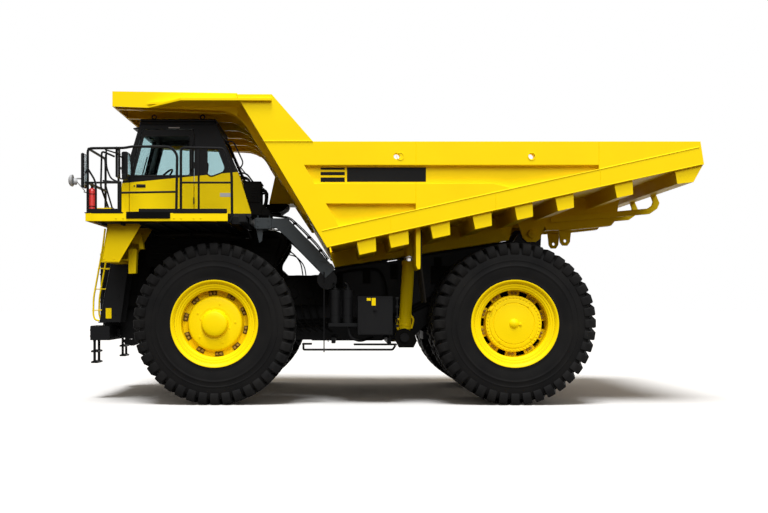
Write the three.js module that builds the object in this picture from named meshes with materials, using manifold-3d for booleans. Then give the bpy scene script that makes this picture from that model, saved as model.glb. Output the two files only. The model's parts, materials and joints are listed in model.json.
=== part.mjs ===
// Rigid mining dump truck: two axles, twin rear tyres, tipping rock body with a canopy over the cab.
// Millimetres, +X forward, +Y to the truck's left (cab side), +Z up. The origin is on the ground
// under the middle of the truck.
import * as THREE from 'three'
import { mergeVertices } from 'three/addons/utils/BufferGeometryUtils.js'
import Module from 'manifold-3d'

const wasm = await Module()
wasm.setup()

// ---------------------------------------------------------------- driving dimensions
const WHEELBASE = 4950
const FRONT_AXLE_X = 2830
const REAR_AXLE_X = FRONT_AXLE_X - WHEELBASE
const TYRE_RADIUS = 1345
const TYRE_HALF_WIDTH = 370
const TYRE_SEGMENTS = 32
const RIM_SEGMENTS = 24
const AXLE_Z = TYRE_RADIUS * Math.cos(Math.PI / TYRE_SEGMENTS)
const RIM_RADIUS = 640
const FRONT_WHEEL_Y = 2162
const REAR_OUTER_Y = 2185
const REAR_INNER_Y = 1325
const KINGPIN_Y = 1480
const HALF_WIDTH = 2765
const FRAME_INNER_Y = 400
const FRAME_OUTER_Y = 640
const DECK_TOP_Z = 3140
const CANOPY_TOP_Z = 5180
const CANOPY_FRONT = -1690
const BODY_RAIL_TOP_Z = 4304
const HINGE_BEHIND = 5560
const HINGE_Z = 2940
const HOIST_Y = 1250
const HOIST_FOOT_BEHIND = 3200
const HOIST_FOOT_Z = 1075
const HOIST_HEAD_BEHIND = 3300
const HOIST_HEAD_Z = 2760
const GAP = 0.4
const RUNNING_GAP = 6

// Distances along the truck are given as millimetres behind the front axle.
const behind = (distance) => FRONT_AXLE_X - distance

// ---------------------------------------------------------------- colours
const PAINT = {
  yellow: [0xf6c400, 0.42, 0.0],
  black: [0x17181a, 0.6, 0.1],
  slate: [0x2f3a42, 0.5, 0.1],
  rubber: [0x1c1c1d, 0.9, 0.0],
  steel: [0x8b8d90, 0.35, 0.9],
  glass: [0x9fbcc0, 0.08, 0.0],
  cloth: [0x26282c, 0.95, 0.0],
}

// ---------------------------------------------------------------- solids
function toSolid(geometry) {
  let g = geometry.clone()
  g.deleteAttribute('normal')
  g.deleteAttribute('uv')
  g = mergeVertices(g, 1e-3)
  const mesh = new wasm.Mesh({
    numProp: 3,
    vertProperties: new Float32Array(g.attributes.position.array),
    triVerts: new Uint32Array(g.index.array),
  })
  return new wasm.Manifold(mesh)
}

function toGeometry(solid) {
  const mesh = solid.getMesh()
  const g = new THREE.BufferGeometry()
  g.setAttribute('position', new THREE.BufferAttribute(new Float32Array(mesh.vertProperties), 3))
  g.setIndex(new THREE.BufferAttribute(new Uint32Array(mesh.triVerts), 1))
  return g
}

function join(...geometries) {
  const solids = geometries.flat().map(toSolid)
  return toGeometry(solids.reduce((whole, next) => whole.add(next)))
}

function cut(geometry, ...tools) {
  const solids = tools.flat().map(toSolid)
  return toGeometry(solids.reduce((whole, next) => whole.subtract(next), toSolid(geometry)))
}

// A block between two corners.
function block(x0, x1, y0, y1, z0, z1) {
  const g = new THREE.BoxGeometry(Math.abs(x1 - x0), Math.abs(y1 - y0), Math.abs(z1 - z0))
  g.translate((x0 + x1) / 2, (y0 + y1) / 2, (z0 + z1) / 2)
  return g
}

// An outline of (distance behind the front axle, height) pairs, as thick as y0 to y1.
function sidePlate(outline, y0, y1) {
  const shape = new THREE.Shape(outline.map(([d, z]) => new THREE.Vector2(behind(d), z)))
  const g = new THREE.ExtrudeGeometry(shape, { depth: Math.abs(y1 - y0), bevelEnabled: false })
  g.rotateX(Math.PI / 2)
  g.translate(0, Math.max(y0, y1), 0)
  return g
}

// An outline of (distance behind the front axle, y) pairs, as thick as z0 to z1.
function floorPlate(outline, z0, z1) {
  const shape = new THREE.Shape(outline.map(([d, y]) => new THREE.Vector2(behind(d), y)))
  const g = new THREE.ExtrudeGeometry(shape, { depth: z1 - z0, bevelEnabled: false })
  g.translate(0, 0, z0)
  return g
}

// A round bar between two points.
function rod(a, b, radius, sides = 12) {
  const from = new THREE.Vector3(...a)
  const to = new THREE.Vector3(...b)
  const along = to.clone().sub(from)
  const g = new THREE.CylinderGeometry(radius, radius, along.length(), sides)
  const up = new THREE.Vector3(0, 1, 0)
  g.applyQuaternion(new THREE.Quaternion().setFromUnitVectors(up, along.normalize()))
  g.translate(...from.add(to).multiplyScalar(0.5))
  return g
}

// A square bar that follows a list of points; its stretches run past each corner to fill it.
function bar(points, width) {
  const pieces = []
  for (let i = 0; i + 1 < points.length; i += 1) {
    const from = new THREE.Vector3(...points[i])
    const to = new THREE.Vector3(...points[i + 1])
    const reach = to.clone().sub(from).setLength(width * 0.45)
    if (i > 0) from.sub(reach)
    if (i + 2 < points.length) to.add(reach)
    pieces.push(rod(from.toArray(), to.toArray(), width / Math.SQRT2, 4))
  }
  return join(pieces)
}

// A ring or disc turned about the Y axis at an axle: the outline is (radius, distance from y) pairs.
function turned(outline, x, y, z, segments) {
  const profile = outline.map(([r, t]) => new THREE.Vector2(r, t))
  if (THREE.ShapeUtils.area(profile) < 0) profile.reverse()
  const g = new THREE.LatheGeometry(profile, segments)
  g.rotateY(Math.PI / segments)
  g.translate(x, y, z)
  return g
}

// The same geometry on the truck's other side.
function mirrored(geometry) {
  const g = geometry.index ? geometry.clone() : mergeVertices(geometry.clone(), 1e-3)
  g.scale(1, -1, 1)
  const index = g.index.array
  for (let i = 0; i < index.length; i += 3) {
    const keep = index[i]
    index[i] = index[i + 1]
    index[i + 1] = keep
  }
  return g
}

// ---------------------------------------------------------------- the model's group
const group = new THREE.Group()

function part(name, geometry, [color, roughness, metalness]) {
  const mesh = new THREE.Mesh(geometry, new THREE.MeshStandardMaterial({ color, roughness, metalness }))
  mesh.name = name
  group.add(mesh)
}

// A left-hand piece and its mirror image.
function pair(name, geometry, paint) {
  part(`${name}_left`, geometry, paint)
  part(`${name}_right`, mirrored(geometry), paint)
}

// ---------------------------------------------------------------- wheels
function tyre(y) {
  const w = TYRE_HALF_WIDTH
  const seat = RIM_RADIUS / Math.cos(Math.PI / TYRE_SEGMENTS) + GAP
  return turned([
    [seat, -295], [735, -335], [960, -w], [1270, -w + 22], [TYRE_RADIUS, -w + 100],
    [TYRE_RADIUS, w - 100], [1270, w - 22], [960, w], [735, 335], [seat, 295], [seat, -295],
  ], 0, y, 0, TYRE_SEGMENTS)
}

// A steered wheel: rim, dished disc and hub, open behind for the brake and knuckle.
function frontRim() {
  return turned([
    [0, 310], [150, 310], [225, 215], [430, 205], [455, 120], [560, 95], [590, 330], [718, 350],
    [RIM_RADIUS, 300], [RIM_RADIUS, -300], [700, -340], [600, -340], [600, 40], [400, 150],
    [0, 150], [0, 310],
  ], 0, FRONT_WHEEL_Y, 0, RIM_SEGMENTS)
}

// Twin wheels on one drum, with the final drive's cover in the outer one.
function rearRim() {
  const outer = REAR_OUTER_Y
  const inner = REAR_INNER_Y - REAR_OUTER_Y
  return turned([
    [0, 205], [350, 195], [465, 170], [480, 95], [560, 90], [590, 330], [718, 350],
    [RIM_RADIUS, 300], [RIM_RADIUS, -300], [700, -342], [590, -345], [590, inner + 345],
    [700, inner + 342], [RIM_RADIUS, inner + 300], [RIM_RADIUS, inner - 300], [700, inner - 340],
    [590, inner - 340], [470, inner - 60], [470, 60], [0, 60], [0, 205],
  ], 0, outer, 0, RIM_SEGMENTS)
}

// ---------------------------------------------------------------- steering
// Upright with its kingpin, spindle and brake drum, and the arm that the tie rod pulls.
const ARM_END_X = FRONT_AXLE_X - 560
const ARM_END_Y = 1240
const ARM_Z = 1010

function knuckle() {
  const x = FRONT_AXLE_X
  return join(
    rod([x, KINGPIN_Y, AXLE_Z - 400], [x, KINGPIN_Y, AXLE_Z + 430], 115, 16),
    rod([x, KINGPIN_Y - 60, AXLE_Z], [x, FRONT_WHEEL_Y + 130, AXLE_Z], 150, 20),
    rod([x, KINGPIN_Y + 140, AXLE_Z], [x, FRONT_WHEEL_Y - 30, AXLE_Z], 390, 28),
    floorPlate([[-90, KINGPIN_Y + 60], [-90, KINGPIN_Y - 60], [470, ARM_END_Y - 80],
      [640, ARM_END_Y - 80], [640, ARM_END_Y + 80], [500, ARM_END_Y + 120], [90, KINGPIN_Y + 60]],
    ARM_Z - 45, ARM_Z + 45),
  )
}

// The bar between the two steering arms, with its eyes under the arms.
function tieRod() {
  const x = ARM_END_X
  const z = ARM_Z - 110
  return join(
    rod([x, -ARM_END_Y, z], [x, ARM_END_Y, z], 42, 12),
    rod([x, ARM_END_Y, z - 50], [x, ARM_END_Y, z + 56], 62, 12),
    rod([x, -ARM_END_Y, z - 50], [x, -ARM_END_Y, z + 50], 62, 12),
  )
}

// Lower wishbone between the frame and the knuckle, spread forward of the axle.
function wishbone() {
  const top = AXLE_Z - 400 - RUNNING_GAP
  const foot = FRAME_OUTER_Y + GAP
  const end = KINGPIN_Y + 90
  const arms = floorPlate([[-480, foot - 90], [200, foot - 90], [200, foot + 60], [110, foot + 160],
    [110, end], [-110, end], [-480, foot + 60]], top - 130, top)
  const hollow = floorPlate([[-330, foot + 90], [60, foot + 90], [30, end - 330], [-60, end - 330]],
    top - 140, top + 10)
  return cut(arms, hollow)
}

// Suspension strut: its foot stands over the knuckle and its head is held by the frame's tower.
function frontStrut() {
  const x = FRONT_AXLE_X
  const foot = AXLE_Z + 430 + RUNNING_GAP
  return join(
    rod([x, KINGPIN_Y, foot], [x, KINGPIN_Y, foot + 120], 130, 16),
    rod([x, KINGPIN_Y - 40, foot + 100], [x, KINGPIN_Y - 130, 2620], 125, 16),
    rod([x, KINGPIN_Y - 100, 2300], [x, KINGPIN_Y - 145, 2760], 155, 16),
    block(x - 190, x + 190, FRAME_OUTER_Y + GAP, KINGPIN_Y - 60, 2520, 2640),
  )
}

// ---------------------------------------------------------------- frame and running gear
const FRAME_OUTLINE = [
  [-1950, 1060], [-1500, 1010], [3350, 1010], [3600, 1250], [4180, 1880], [5150, 1960],
  [5720, 2560], [5740, 2900], [5650, 3060], [5460, 3080], [5330, 2960], [5240, 2790],
  [1900, 2275], [1700, 1620], [-1150, 1620], [-1500, 2050], [-1950, 2050],
]
const RAIL_THICKNESS = FRAME_OUTER_Y - FRAME_INNER_Y
const TOW_EYE_BEHIND = -1740

function crossTube(distance, z, halfLength, radius) {
  return rod([behind(distance), -halfLength, z], [behind(distance), halfLength, z], radius, 16)
}

function mainFrame() {
  const rails = [1, -1].map((s) => sidePlate(FRAME_OUTLINE, s * FRAME_INNER_Y, s * FRAME_OUTER_Y))
  const towers = [1, -1].map((s) => block(FRONT_AXLE_X - 230, FRONT_AXLE_X + 230,
    s * (FRAME_OUTER_Y - RAIL_THICKNESS), s * FRAME_OUTER_Y, 1600, 2660))
  const bridge = block(FRONT_AXLE_X - 180, FRONT_AXLE_X + 180, -FRAME_OUTER_Y, FRAME_OUTER_Y, 2560, 2660)
  const eyes = [1, -1].map((s) => rod([behind(TOW_EYE_BEHIND), s * FRAME_INNER_Y, 1010],
    [behind(TOW_EYE_BEHIND), s * FRAME_OUTER_Y, 1010], 110, 16))
  const eyeHoles = crossTube(TOW_EYE_BEHIND - 20, 985, FRAME_OUTER_Y + 60, 48)
  const hinge = crossTube(HINGE_BEHIND, HINGE_Z, 760, 66)
  const whole = join(
    rails, towers, bridge, eyes,
    crossTube(-1790, 1250, FRAME_OUTER_Y, 150),
    crossTube(1850, 2080, 1990, 170),
    crossTube(HOIST_FOOT_BEHIND, HOIST_FOOT_Z, HOIST_Y + 190, 78),
    crossTube(4350, 2150, FRAME_OUTER_Y, 160),
    crossTube(5350, 2330, FRAME_OUTER_Y, 120),
  )
  return cut(whole, hinge, eyeHoles)
}

// Bumper with the two sets of low steps that hang under it.
function frontBumper() {
  const outline = [
    [-2300, -1450], [-2300, 1450], [-1960, 1450], [-1955, 700], [-1955, -700], [-1960, -1450],
  ]
  return join(
    floorPlate(outline, 1030, 1275),
    block(behind(-2290), behind(-1990), -520, 520, 1270, 1330),
    [1, -1].map(lowSteps),
  )
}

function lowSteps(side) {
  const x = behind(-2250)
  const hangers = [1000, 1330].map((y) => bar([[x, side * y, 640], [x, side * y, 1050]], 36))
  const treads = [640, 830].map((z) => block(x - 60, x + 60, side * 980, side * 1350, z - 16, z + 16))
  return join(hangers, treads)
}

// Radiator with its shroud, standing on the bumper.
function radiator() {
  const outline = [[-2230, 1335], [-1990, 1335], [-1990, 2600], [-1960, 3005], [-2110, 3005], [-2230, 2560]]
  return join(sidePlate(outline, -830, 830))
}

function engine() {
  return block(behind(-1400), behind(620), -395, 395, 1120, 2500)
}

// Gearbox, its drive shaft to the rear axle and the short shaft from the engine.
function transmission() {
  return join(
    block(behind(1250), behind(2700), -360, 360, 1120, 1850),
    rod([behind(621), 0, 1480], [behind(1300), 0, 1480], 80, 12),
    rod([behind(2650), 0, 1480], [behind(4370), 0, 1400], 75, 12),
  )
}

function rearAxle() {
  const x = REAR_AXLE_X
  return join(
    rod([x, -REAR_INNER_Y + 110, AXLE_Z], [x, REAR_INNER_Y - 110, AXLE_Z], 330, 24),
    new THREE.SphereGeometry(560, 16, 8).rotateX(Math.PI / 2).translate(x, 0, AXLE_Z),
    rod([x, -REAR_OUTER_Y - 40, AXLE_Z], [x, REAR_OUTER_Y + 40, AXLE_Z], 160, 16),
    block(x - 560, x - 200, -880, -700, AXLE_Z - 120, AXLE_Z + 60),
    block(x - 560, x - 200, 700, 880, AXLE_Z - 120, AXLE_Z + 60),
    floorPlate([[4700, -330], [3700, -120], [3700, 120], [4700, 330]], AXLE_Z - 330, AXLE_Z - 210),
    block(behind(3780), behind(3600), -395, 395, AXLE_Z - 330, AXLE_Z - 180),
    rearSuspension(), mirrored(rearSuspension()),
  )
}

function rearSuspension() {
  const x = REAR_AXLE_X - 460
  const y = 790
  return join(
    rod([x, y, AXLE_Z + 40], [x, y, 2080], 72, 14),
    rod([x, y, 1750], [x, y, 2480], 100, 14),
    block(x - 90, x + 60, FRAME_OUTER_Y + GAP, y + 40, 2452, 2540),
  )
}

// ---------------------------------------------------------------- deck and what stands on it
const DECK_HALF = 2760
const DECK_FRONT = -2060
const DECK_SKIRT_Z = 3010
const DECK_PLATE = 45

function deck() {
  const outline = [
    [DECK_FRONT, -DECK_HALF], [620, -DECK_HALF], [620, -1500], [560, -600], [560, 2100],
    [255, 2100], [255, DECK_HALF], [DECK_FRONT, DECK_HALF],
  ]
  const inner = [
    [DECK_FRONT + 30, -DECK_HALF + 30], [590, -DECK_HALF + 30], [590, -1500], [530, -600],
    [530, 2070], [225, 2070], [225, DECK_HALF - 30], [DECK_FRONT + 30, DECK_HALF - 30],
  ]
  const tray = cut(
    floorPlate(outline, DECK_SKIRT_Z, DECK_TOP_Z),
    floorPlate(inner, DECK_SKIRT_Z - 1, DECK_TOP_Z - DECK_PLATE),
  )
  const beams = [-900, 0, 480].map((d) => block(behind(d) - 60, behind(d) + 60,
    -DECK_HALF + 60, DECK_HALF - 60, DECK_SKIRT_Z - 5, DECK_TOP_Z - 20))
  const step = block(behind(-1960), behind(-1700), 2000, 2500, DECK_TOP_Z - 10, DECK_TOP_Z + 110)
  return join(tray, beams, step)
}

// Panel under the deck's front that holds the headlamps: front face, outer side and floor.
function lampPanel() {
  const side = [[-1860, 3009], [-1900, 2760], [-1985, 2385], [-1700, 2385], [-1300, 3009]]
  const hollow = [
    [-1600, 3050], [-1835, 3050], [-1870, 2760], [-1950, 2415], [-1500, 2415], [-1100, 3050],
  ]
  const lamps = [1560, 1860].map((y) => rod([behind(-2100), y, 2600], [behind(-1800), y, 2600], 105, 16))
  return cut(sidePlate(side, 1400, 2450), sidePlate(hollow, 1390, 2425), lamps)
}

// Sloping ladder from the bumper to the deck, with its two hand rails.
function ladder() {
  const sides = [950, 1380]
  const lean = (z) => -2290 + (z - 1290) * 0.122
  const [foot, head] = [1286, 3008]
  const rails = sides.map((y) => sidePlate([
    [lean(foot), foot], [lean(head), head], [lean(head) + 60, head], [lean(foot) + 60, foot],
  ], y - 20, y + 20))
  const hands = sides.map((y) => bar([
    [behind(-2240), y, 1500], [behind(-2296), y, 1560], [behind(-2296), y, 1800],
    [behind(-2100), y, 2900], [behind(-2060), y, 2900],
  ], 34))
  const treads = Array.from({ length: 6 }, (_, i) => {
    const z = 1480 + i * 260
    return block(behind(lean(z) + 5), behind(lean(z) + 55), sides[0], sides[1], z - 14, z + 14)
  })
  return join(rails, hands, treads)
}

const RAIL_TOP_Z = 4198
const RAIL_MID_Z = 3640
const RAIL_BAR = 38
const RIGHT_RAIL_END = -200

function post(d, y, top) {
  return bar([[behind(d), y, DECK_TOP_Z + GAP], [behind(d), y, top]], RAIL_BAR)
}

// Low strip along the deck's edge that the posts stand through.
function toeBoard(d0, d1, y) {
  return block(behind(d0), behind(d1), y - 12, y + 12, DECK_TOP_Z + GAP, DECK_TOP_Z + 40)
}

// Hand rails round the walkway beside the cab, with the mirrors that they carry.
function leftRailing() {
  const y = DECK_HALF - 40
  const x = (d) => behind(d)
  return join(
    bar([[x(-2030), 1450, RAIL_TOP_Z], [x(-2030), y, RAIL_TOP_Z], [x(-640), y, RAIL_TOP_Z],
      [x(-590), y, RAIL_TOP_Z - 130]], RAIL_BAR),
    bar([[x(-2030), 1450, RAIL_MID_Z], [x(-2030), y, RAIL_MID_Z], [x(-590), y, RAIL_MID_Z]], RAIL_BAR),
    post(-2030, 1450, RAIL_TOP_Z + 19), post(-2030, 2080, RAIL_TOP_Z), post(-2030, y, RAIL_TOP_Z + 19),
    post(-1500, y, RAIL_TOP_Z), post(-590, y, RAIL_TOP_Z - 120),
    bar([[x(-500), y, DECK_TOP_Z + GAP], [x(-500), y, RAIL_TOP_Z], [x(225), y, RAIL_TOP_Z],
      [x(235), y, DECK_TOP_Z + GAP]], RAIL_BAR),
    bar([[x(-500), y, RAIL_MID_Z], [x(230), y, RAIL_MID_Z]], RAIL_BAR),
    toeBoard(-2030, 235, y),
    bar([[x(-2030), y, 3700], [x(-2230), y + 190, 3700]], 30),
    block(x(-2165), x(-2125), y + 50, y + 250, 3560, 4100),
    bar([[x(-2145), y - 10, 3900], [x(-2145), y + 60, 3900]], 30),
    bar([[x(-2030), y, 3900], [x(-2145), y, 3900]], 30),
  )
}

// Short rail over the radiator, between the two ladders.
function frontRailing() {
  const y = 880
  const x = behind(-2030)
  return join(
    bar([[x, -y, DECK_TOP_Z + GAP], [x, -y, RAIL_TOP_Z], [x, y, RAIL_TOP_Z], [x, y, DECK_TOP_Z + GAP]],
      RAIL_BAR),
    bar([[x, -y, RAIL_MID_Z], [x, y, RAIL_MID_Z]], RAIL_BAR),
    post(-2030, 0, RAIL_TOP_Z),
  )
}

// Hand rails round the right side, joined to the front one by the deck's front edge strip.
function rightRailing() {
  const y = -(DECK_HALF - 40)
  const x = (d) => behind(d)
  const end = x(RIGHT_RAIL_END)
  return join(
    bar([[x(-2030), -1450, RAIL_TOP_Z], [x(-2030), y, RAIL_TOP_Z], [end, y, RAIL_TOP_Z],
      [end, y, DECK_TOP_Z + GAP]], RAIL_BAR),
    bar([[x(-2030), -1450, RAIL_MID_Z], [x(-2030), y, RAIL_MID_Z], [end, y, RAIL_MID_Z]], RAIL_BAR),
    post(-2030, -1450, RAIL_TOP_Z + 19), post(-2030, -2080, RAIL_TOP_Z), post(-2030, y, RAIL_TOP_Z + 19),
    post(-1150, y, RAIL_TOP_Z), toeBoard(-2030, RIGHT_RAIL_END, y),
    frontRailing(), block(x(-2042), x(-2018), y, 900, DECK_TOP_Z + GAP, DECK_TOP_Z + 40),
    block(x(-2165), x(-2125), y - 50, y - 250, 3560, 4100),
    bar([[x(-2145), y + 10, 3900], [x(-2145), y - 60, 3900]], 30),
    bar([[x(-2030), y, 3900], [x(-2145), y, 3900]], 30),
  )
}

// Leaning strut on each side, from the frame's outrigger up to a cross-beam behind the cab.
function deckBraces() {
  const outline = [
    [622, 3120], [1178, 3120], [1920, 2340], [1980, 2262], [1860, 2252], [1700, 2252],
    [1178, 2787], [980, 2960], [622, 2960],
  ]
  const beam = block(behind(640), behind(800), -1985, 1985, 2965, 3115)
  return join(sidePlate(outline, 1820, 1985), sidePlate(outline, -1985, -1820), beam)
}

// Air cleaners and control cabinet on the right of the deck.
function deckCabinet() {
  return join(
    block(behind(-1500), behind(-450), -1250, -420, DECK_TOP_Z + GAP, 3980),
    block(behind(-460), behind(350), -1250, -500, DECK_TOP_Z + GAP, 3700),
  )
}

function airCleaners() {
  const y = -2120
  const pots = [-900, -330].map((d) => [
    rod([behind(d), y, DECK_TOP_Z + 60], [behind(d), y, 4010], 235, 20),
    rod([behind(d), y, 4000], [behind(d), y, 4110], 170, 16),
  ]).flat()
  const plinth = block(behind(-1180), behind(-50), y - 220, y + 220, DECK_TOP_Z + GAP, DECK_TOP_Z + 80)
  return join(pots, plinth)
}

// Left tank with the two upright accumulators that stand on the same bracket.
function fuelTank() {
  const pots = [1990, 2200].map((d) => rod([behind(d), 2200, 1340], [behind(d), 2200, 1900], 88, 16))
  return join(
    block(behind(2366), behind(2942), 1620, 2440, 1158, 1792),
    block(behind(2480), behind(2830), 641, 1640, 1250, 1620),
    pots, block(behind(1880), behind(2400), 2050, 2330, 1290, 1345),
  )
}

function hydraulicTank() {
  return join(
    block(behind(2000), behind(3000), -2400, -1500, 1100, 1900),
    block(behind(2200), behind(2800), -1520, -641, 1250, 1620),
  )
}

// ---------------------------------------------------------------- cab
const CAB_LEFT_Y = 1950
const CAB_RIGHT_Y = 130
const CAB_WALL = 60
const CAB_END_WALL = 65
const CAB_BASE_Z = DECK_TOP_Z + GAP
const CAB_FLOOR_Z = CAB_BASE_Z + 60
const CAB_ROOF_Z = 4779
const CAB_SILL_Z = 3714
const SILL_FRONT = -1640
const ROOF_FRONT = -1318
const ROOF_REAR = -56
const WAIST_REAR = 365
const WAIST_Z = 3826
const BASE_FRONT = -1675
const BASE_REAR = 560
const WALL_TOP_Z = CAB_ROOF_Z - CAB_WALL
const PANE = 12
const PANE_GAP = 2

// Distances of the cab's sloping front and rear faces at a height.
function along(z, z0, d0, z1, d1) {
  return d0 + ((z - z0) * (d1 - d0)) / (z1 - z0)
}
const cabFrontAt = (z) => along(z, CAB_SILL_Z, SILL_FRONT, CAB_ROOF_Z, ROOF_FRONT)
const cabRearAt = (z) => along(z, WAIST_Z, WAIST_REAR, CAB_ROOF_Z, ROOF_REAR)

const CAB_SIDE = [
  [BASE_FRONT, CAB_FLOOR_Z + GAP], [SILL_FRONT, CAB_SILL_Z], [cabFrontAt(WALL_TOP_Z), WALL_TOP_Z - GAP],
  [cabRearAt(WALL_TOP_Z), WALL_TOP_Z - GAP], [WAIST_REAR, WAIST_Z], [BASE_REAR, CAB_FLOOR_Z + GAP],
]
const DOOR = [[-1519, 3225], [-1519, 3790], [-1290, 4640], [-408, 4640], [-408, 3225]]
const DOOR_WINDOW = [[-1440, 3846], [-1265, 4522], [-478, 4522], [-478, 3846]]
const QUARTER_WINDOW = [[-190, 3870], [-190, 4302], [0, 4302], [118, 3980], [84, 3905], [-120, 3832]]
const RIGHT_WINDOW = [[-1440, 3846], [-1240, 4630], [-250, 4630], [60, 3846]]
const DOOR_GAP = 10

// The same outline moved in towards its middle by about one distance.
function shrunk(outline, distance) {
  const middle = (i) => outline.reduce((sum, point) => sum + point[i] / outline.length, 0)
  const mid = [middle(0), middle(1)]
  return outline.map((point) => point.map((v, i) => v - Math.sign(v - mid[i]) * distance))
}

function cabFloor() {
  return block(behind(BASE_FRONT), behind(BASE_REAR), CAB_RIGHT_Y, CAB_LEFT_Y, CAB_BASE_Z, CAB_FLOOR_Z)
}

function cabRoof() {
  return block(behind(ROOF_FRONT - 20), behind(ROOF_REAR + 20), CAB_RIGHT_Y, CAB_LEFT_Y,
    WALL_TOP_Z, CAB_ROOF_Z)
}

function cabSideWall(y0, y1, openings) {
  const tools = openings.map((outline) => sidePlate(outline, y0 - 10, y1 + 10))
  return cut(sidePlate(CAB_SIDE, y0, y1), tools)
}

// A sloping band of the cab's front or rear between two heights.
function band(faceAt, z0, z1, from, to, y0, y1) {
  return sidePlate([[faceAt(z0) + from, z0], [faceAt(z1) + from, z1], [faceAt(z1) + to, z1],
    [faceAt(z0) + to, z0]], y0, y1)
}

const FRONT_PANE_Z = [3800, 4640]
const REAR_PANE_Z = [3900, 4600]

// The same line of points, shifted along the truck and taken backwards, to close an outline.
function inwards(face, shift) {
  return face.map(([d, z]) => [d + shift, z]).reverse()
}

function cabFront() {
  const y0 = CAB_RIGHT_Y + CAB_WALL + GAP
  const y1 = CAB_LEFT_Y - CAB_WALL - GAP
  const face = [
    [BASE_FRONT, CAB_FLOOR_Z + GAP], [SILL_FRONT, CAB_SILL_Z], [cabFrontAt(WALL_TOP_Z), WALL_TOP_Z - GAP],
  ]
  const wall = sidePlate([...face, ...inwards(face, CAB_END_WALL)], y0, y1)
  return cut(wall, block(behind(-1800), behind(-1000), y0 + 70, y1 - 70, ...FRONT_PANE_Z))
}

function cabRear() {
  const y0 = CAB_RIGHT_Y + CAB_WALL + GAP
  const y1 = CAB_LEFT_Y - CAB_WALL - GAP
  const face = [
    [BASE_REAR, CAB_FLOOR_Z + GAP], [WAIST_REAR, WAIST_Z], [cabRearAt(WALL_TOP_Z), WALL_TOP_Z - GAP],
  ]
  const wall = sidePlate([...face, ...inwards(face, -CAB_END_WALL)], y0, y1)
  return cut(wall, block(behind(-200), behind(600), y0 + 250, y1 - 250, ...REAR_PANE_Z))
}

function endPane(faceAt, side, [z0, z1], margin) {
  const y0 = CAB_RIGHT_Y + CAB_WALL + GAP + margin + PANE_GAP
  const y1 = CAB_LEFT_Y - CAB_WALL - GAP - margin - PANE_GAP
  return band(faceAt, z0 + PANE_GAP, z1 - PANE_GAP, side * 24, side * (24 + PANE), y0, y1)
}

function sidePane(outline, y) {
  return sidePlate(shrunk(outline, PANE_GAP), y - PANE / 2, y + PANE / 2)
}

function cabDoor() {
  const panel = sidePlate(shrunk(DOOR, DOOR_GAP), CAB_LEFT_Y - CAB_WALL, CAB_LEFT_Y)
  return cut(panel, sidePlate(DOOR_WINDOW, CAB_LEFT_Y - 100, CAB_LEFT_Y + 50))
}

const SEAT_Y = 1080

function seat() {
  const x = behind(-480)
  return join(
    block(x - 200, x + 200, SEAT_Y - 180, SEAT_Y + 180, CAB_FLOOR_Z + GAP, 3420),
    block(x - 270, x + 290, SEAT_Y - 270, SEAT_Y + 270, 3410, 3560),
    sidePlate([[-300, 3480], [-170, 3480], [-30, 4220], [-150, 4220]], SEAT_Y - 255, SEAT_Y + 255),
  )
}

const HAND_WHEEL_Z = 3900

function dashboard() {
  const hub = behind(-1075)
  const wheel = new THREE.TorusGeometry(215, 18, 6, 20)
  wheel.rotateY(Math.PI / 2 - 0.75)
  wheel.translate(hub, SEAT_Y, HAND_WHEEL_Z)
  return join(
    sidePlate([[-1600, CAB_FLOOR_Z + GAP], [-1565, 3700], [-1500, 3850], [-1380, 3820], [-1360, 3600],
      [-1440, CAB_FLOOR_Z + GAP]], CAB_RIGHT_Y + 80, CAB_LEFT_Y - 80),
    rod([behind(-1420), SEAT_Y, 3560], [hub, SEAT_Y, HAND_WHEEL_Z], 34, 10),
    rod([hub, SEAT_Y - 205, HAND_WHEEL_Z], [hub, SEAT_Y + 205, HAND_WHEEL_Z], 16, 6),
    wheel,
  )
}

// ---------------------------------------------------------------- dump body
const WALL_INNER_Y = 2600
const PANEL_Y = 2660
const FRONT_LOW = [1862, 2579]
const FRONT_RAIL = [832, 4315]
const wallFrontAt = (z) => along(z, FRONT_LOW[1], FRONT_LOW[0], FRONT_RAIL[1], FRONT_RAIL[0])
const floorUnder = (d) => along(d, 1862, 2579, 7980, 3930)
const lowerRailTop = (d) => along(d, 1716, 2834, 7918, 4209)
const RAIL_BOTTOM_Z = 3921
const GUSSET_Z = [3296, 3619]
const EAR_Z = 5070
const FRONT_WALL_TOP_Z = 5085

function bodySide() {
  const outline = [
    FRONT_LOW, FRONT_RAIL, [wallFrontAt(EAR_Z), EAR_Z], [965, EAR_Z], [1635, BODY_RAIL_TOP_Z],
    [7922, BODY_RAIL_TOP_Z], [7980, 3930],
  ]
  const upper = [
    [1492, RAIL_BOTTOM_Z], [6275, RAIL_BOTTOM_Z], [6275, lowerRailTop(6275)], [4900, lowerRailTop(4900)],
    [4568, GUSSET_Z[1]], [1656, GUSSET_Z[1]],
  ]
  const lower = [
    [1845, GUSSET_Z[0]], [3306, GUSSET_Z[0]], [3306, lowerRailTop(3306)], [2062, lowerRailTop(2062)],
  ]
  const holes = [2993, 5180].map((d) => rod([behind(d), 2500, 4065], [behind(d), 2900, 4065], 50, 12))
  return cut(
    sidePlate(outline, WALL_INNER_Y, HALF_WIDTH),
    sidePlate(upper, PANEL_Y, HALF_WIDTH + 10), sidePlate(lower, PANEL_Y, HALF_WIDTH + 10), holes,
  )
}

const RIBS = [
  [2344, 2651], [2860, 3183], [3541, 3856], [4228, 4534], [4912, 5203], [5574, 5869], [6534, 6831],
]
const RIB_DEPTH = 230
const STRINGER_GAP = 52
const FLOOR_PLATE = 85
const RIB_HALF = 2715

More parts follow.
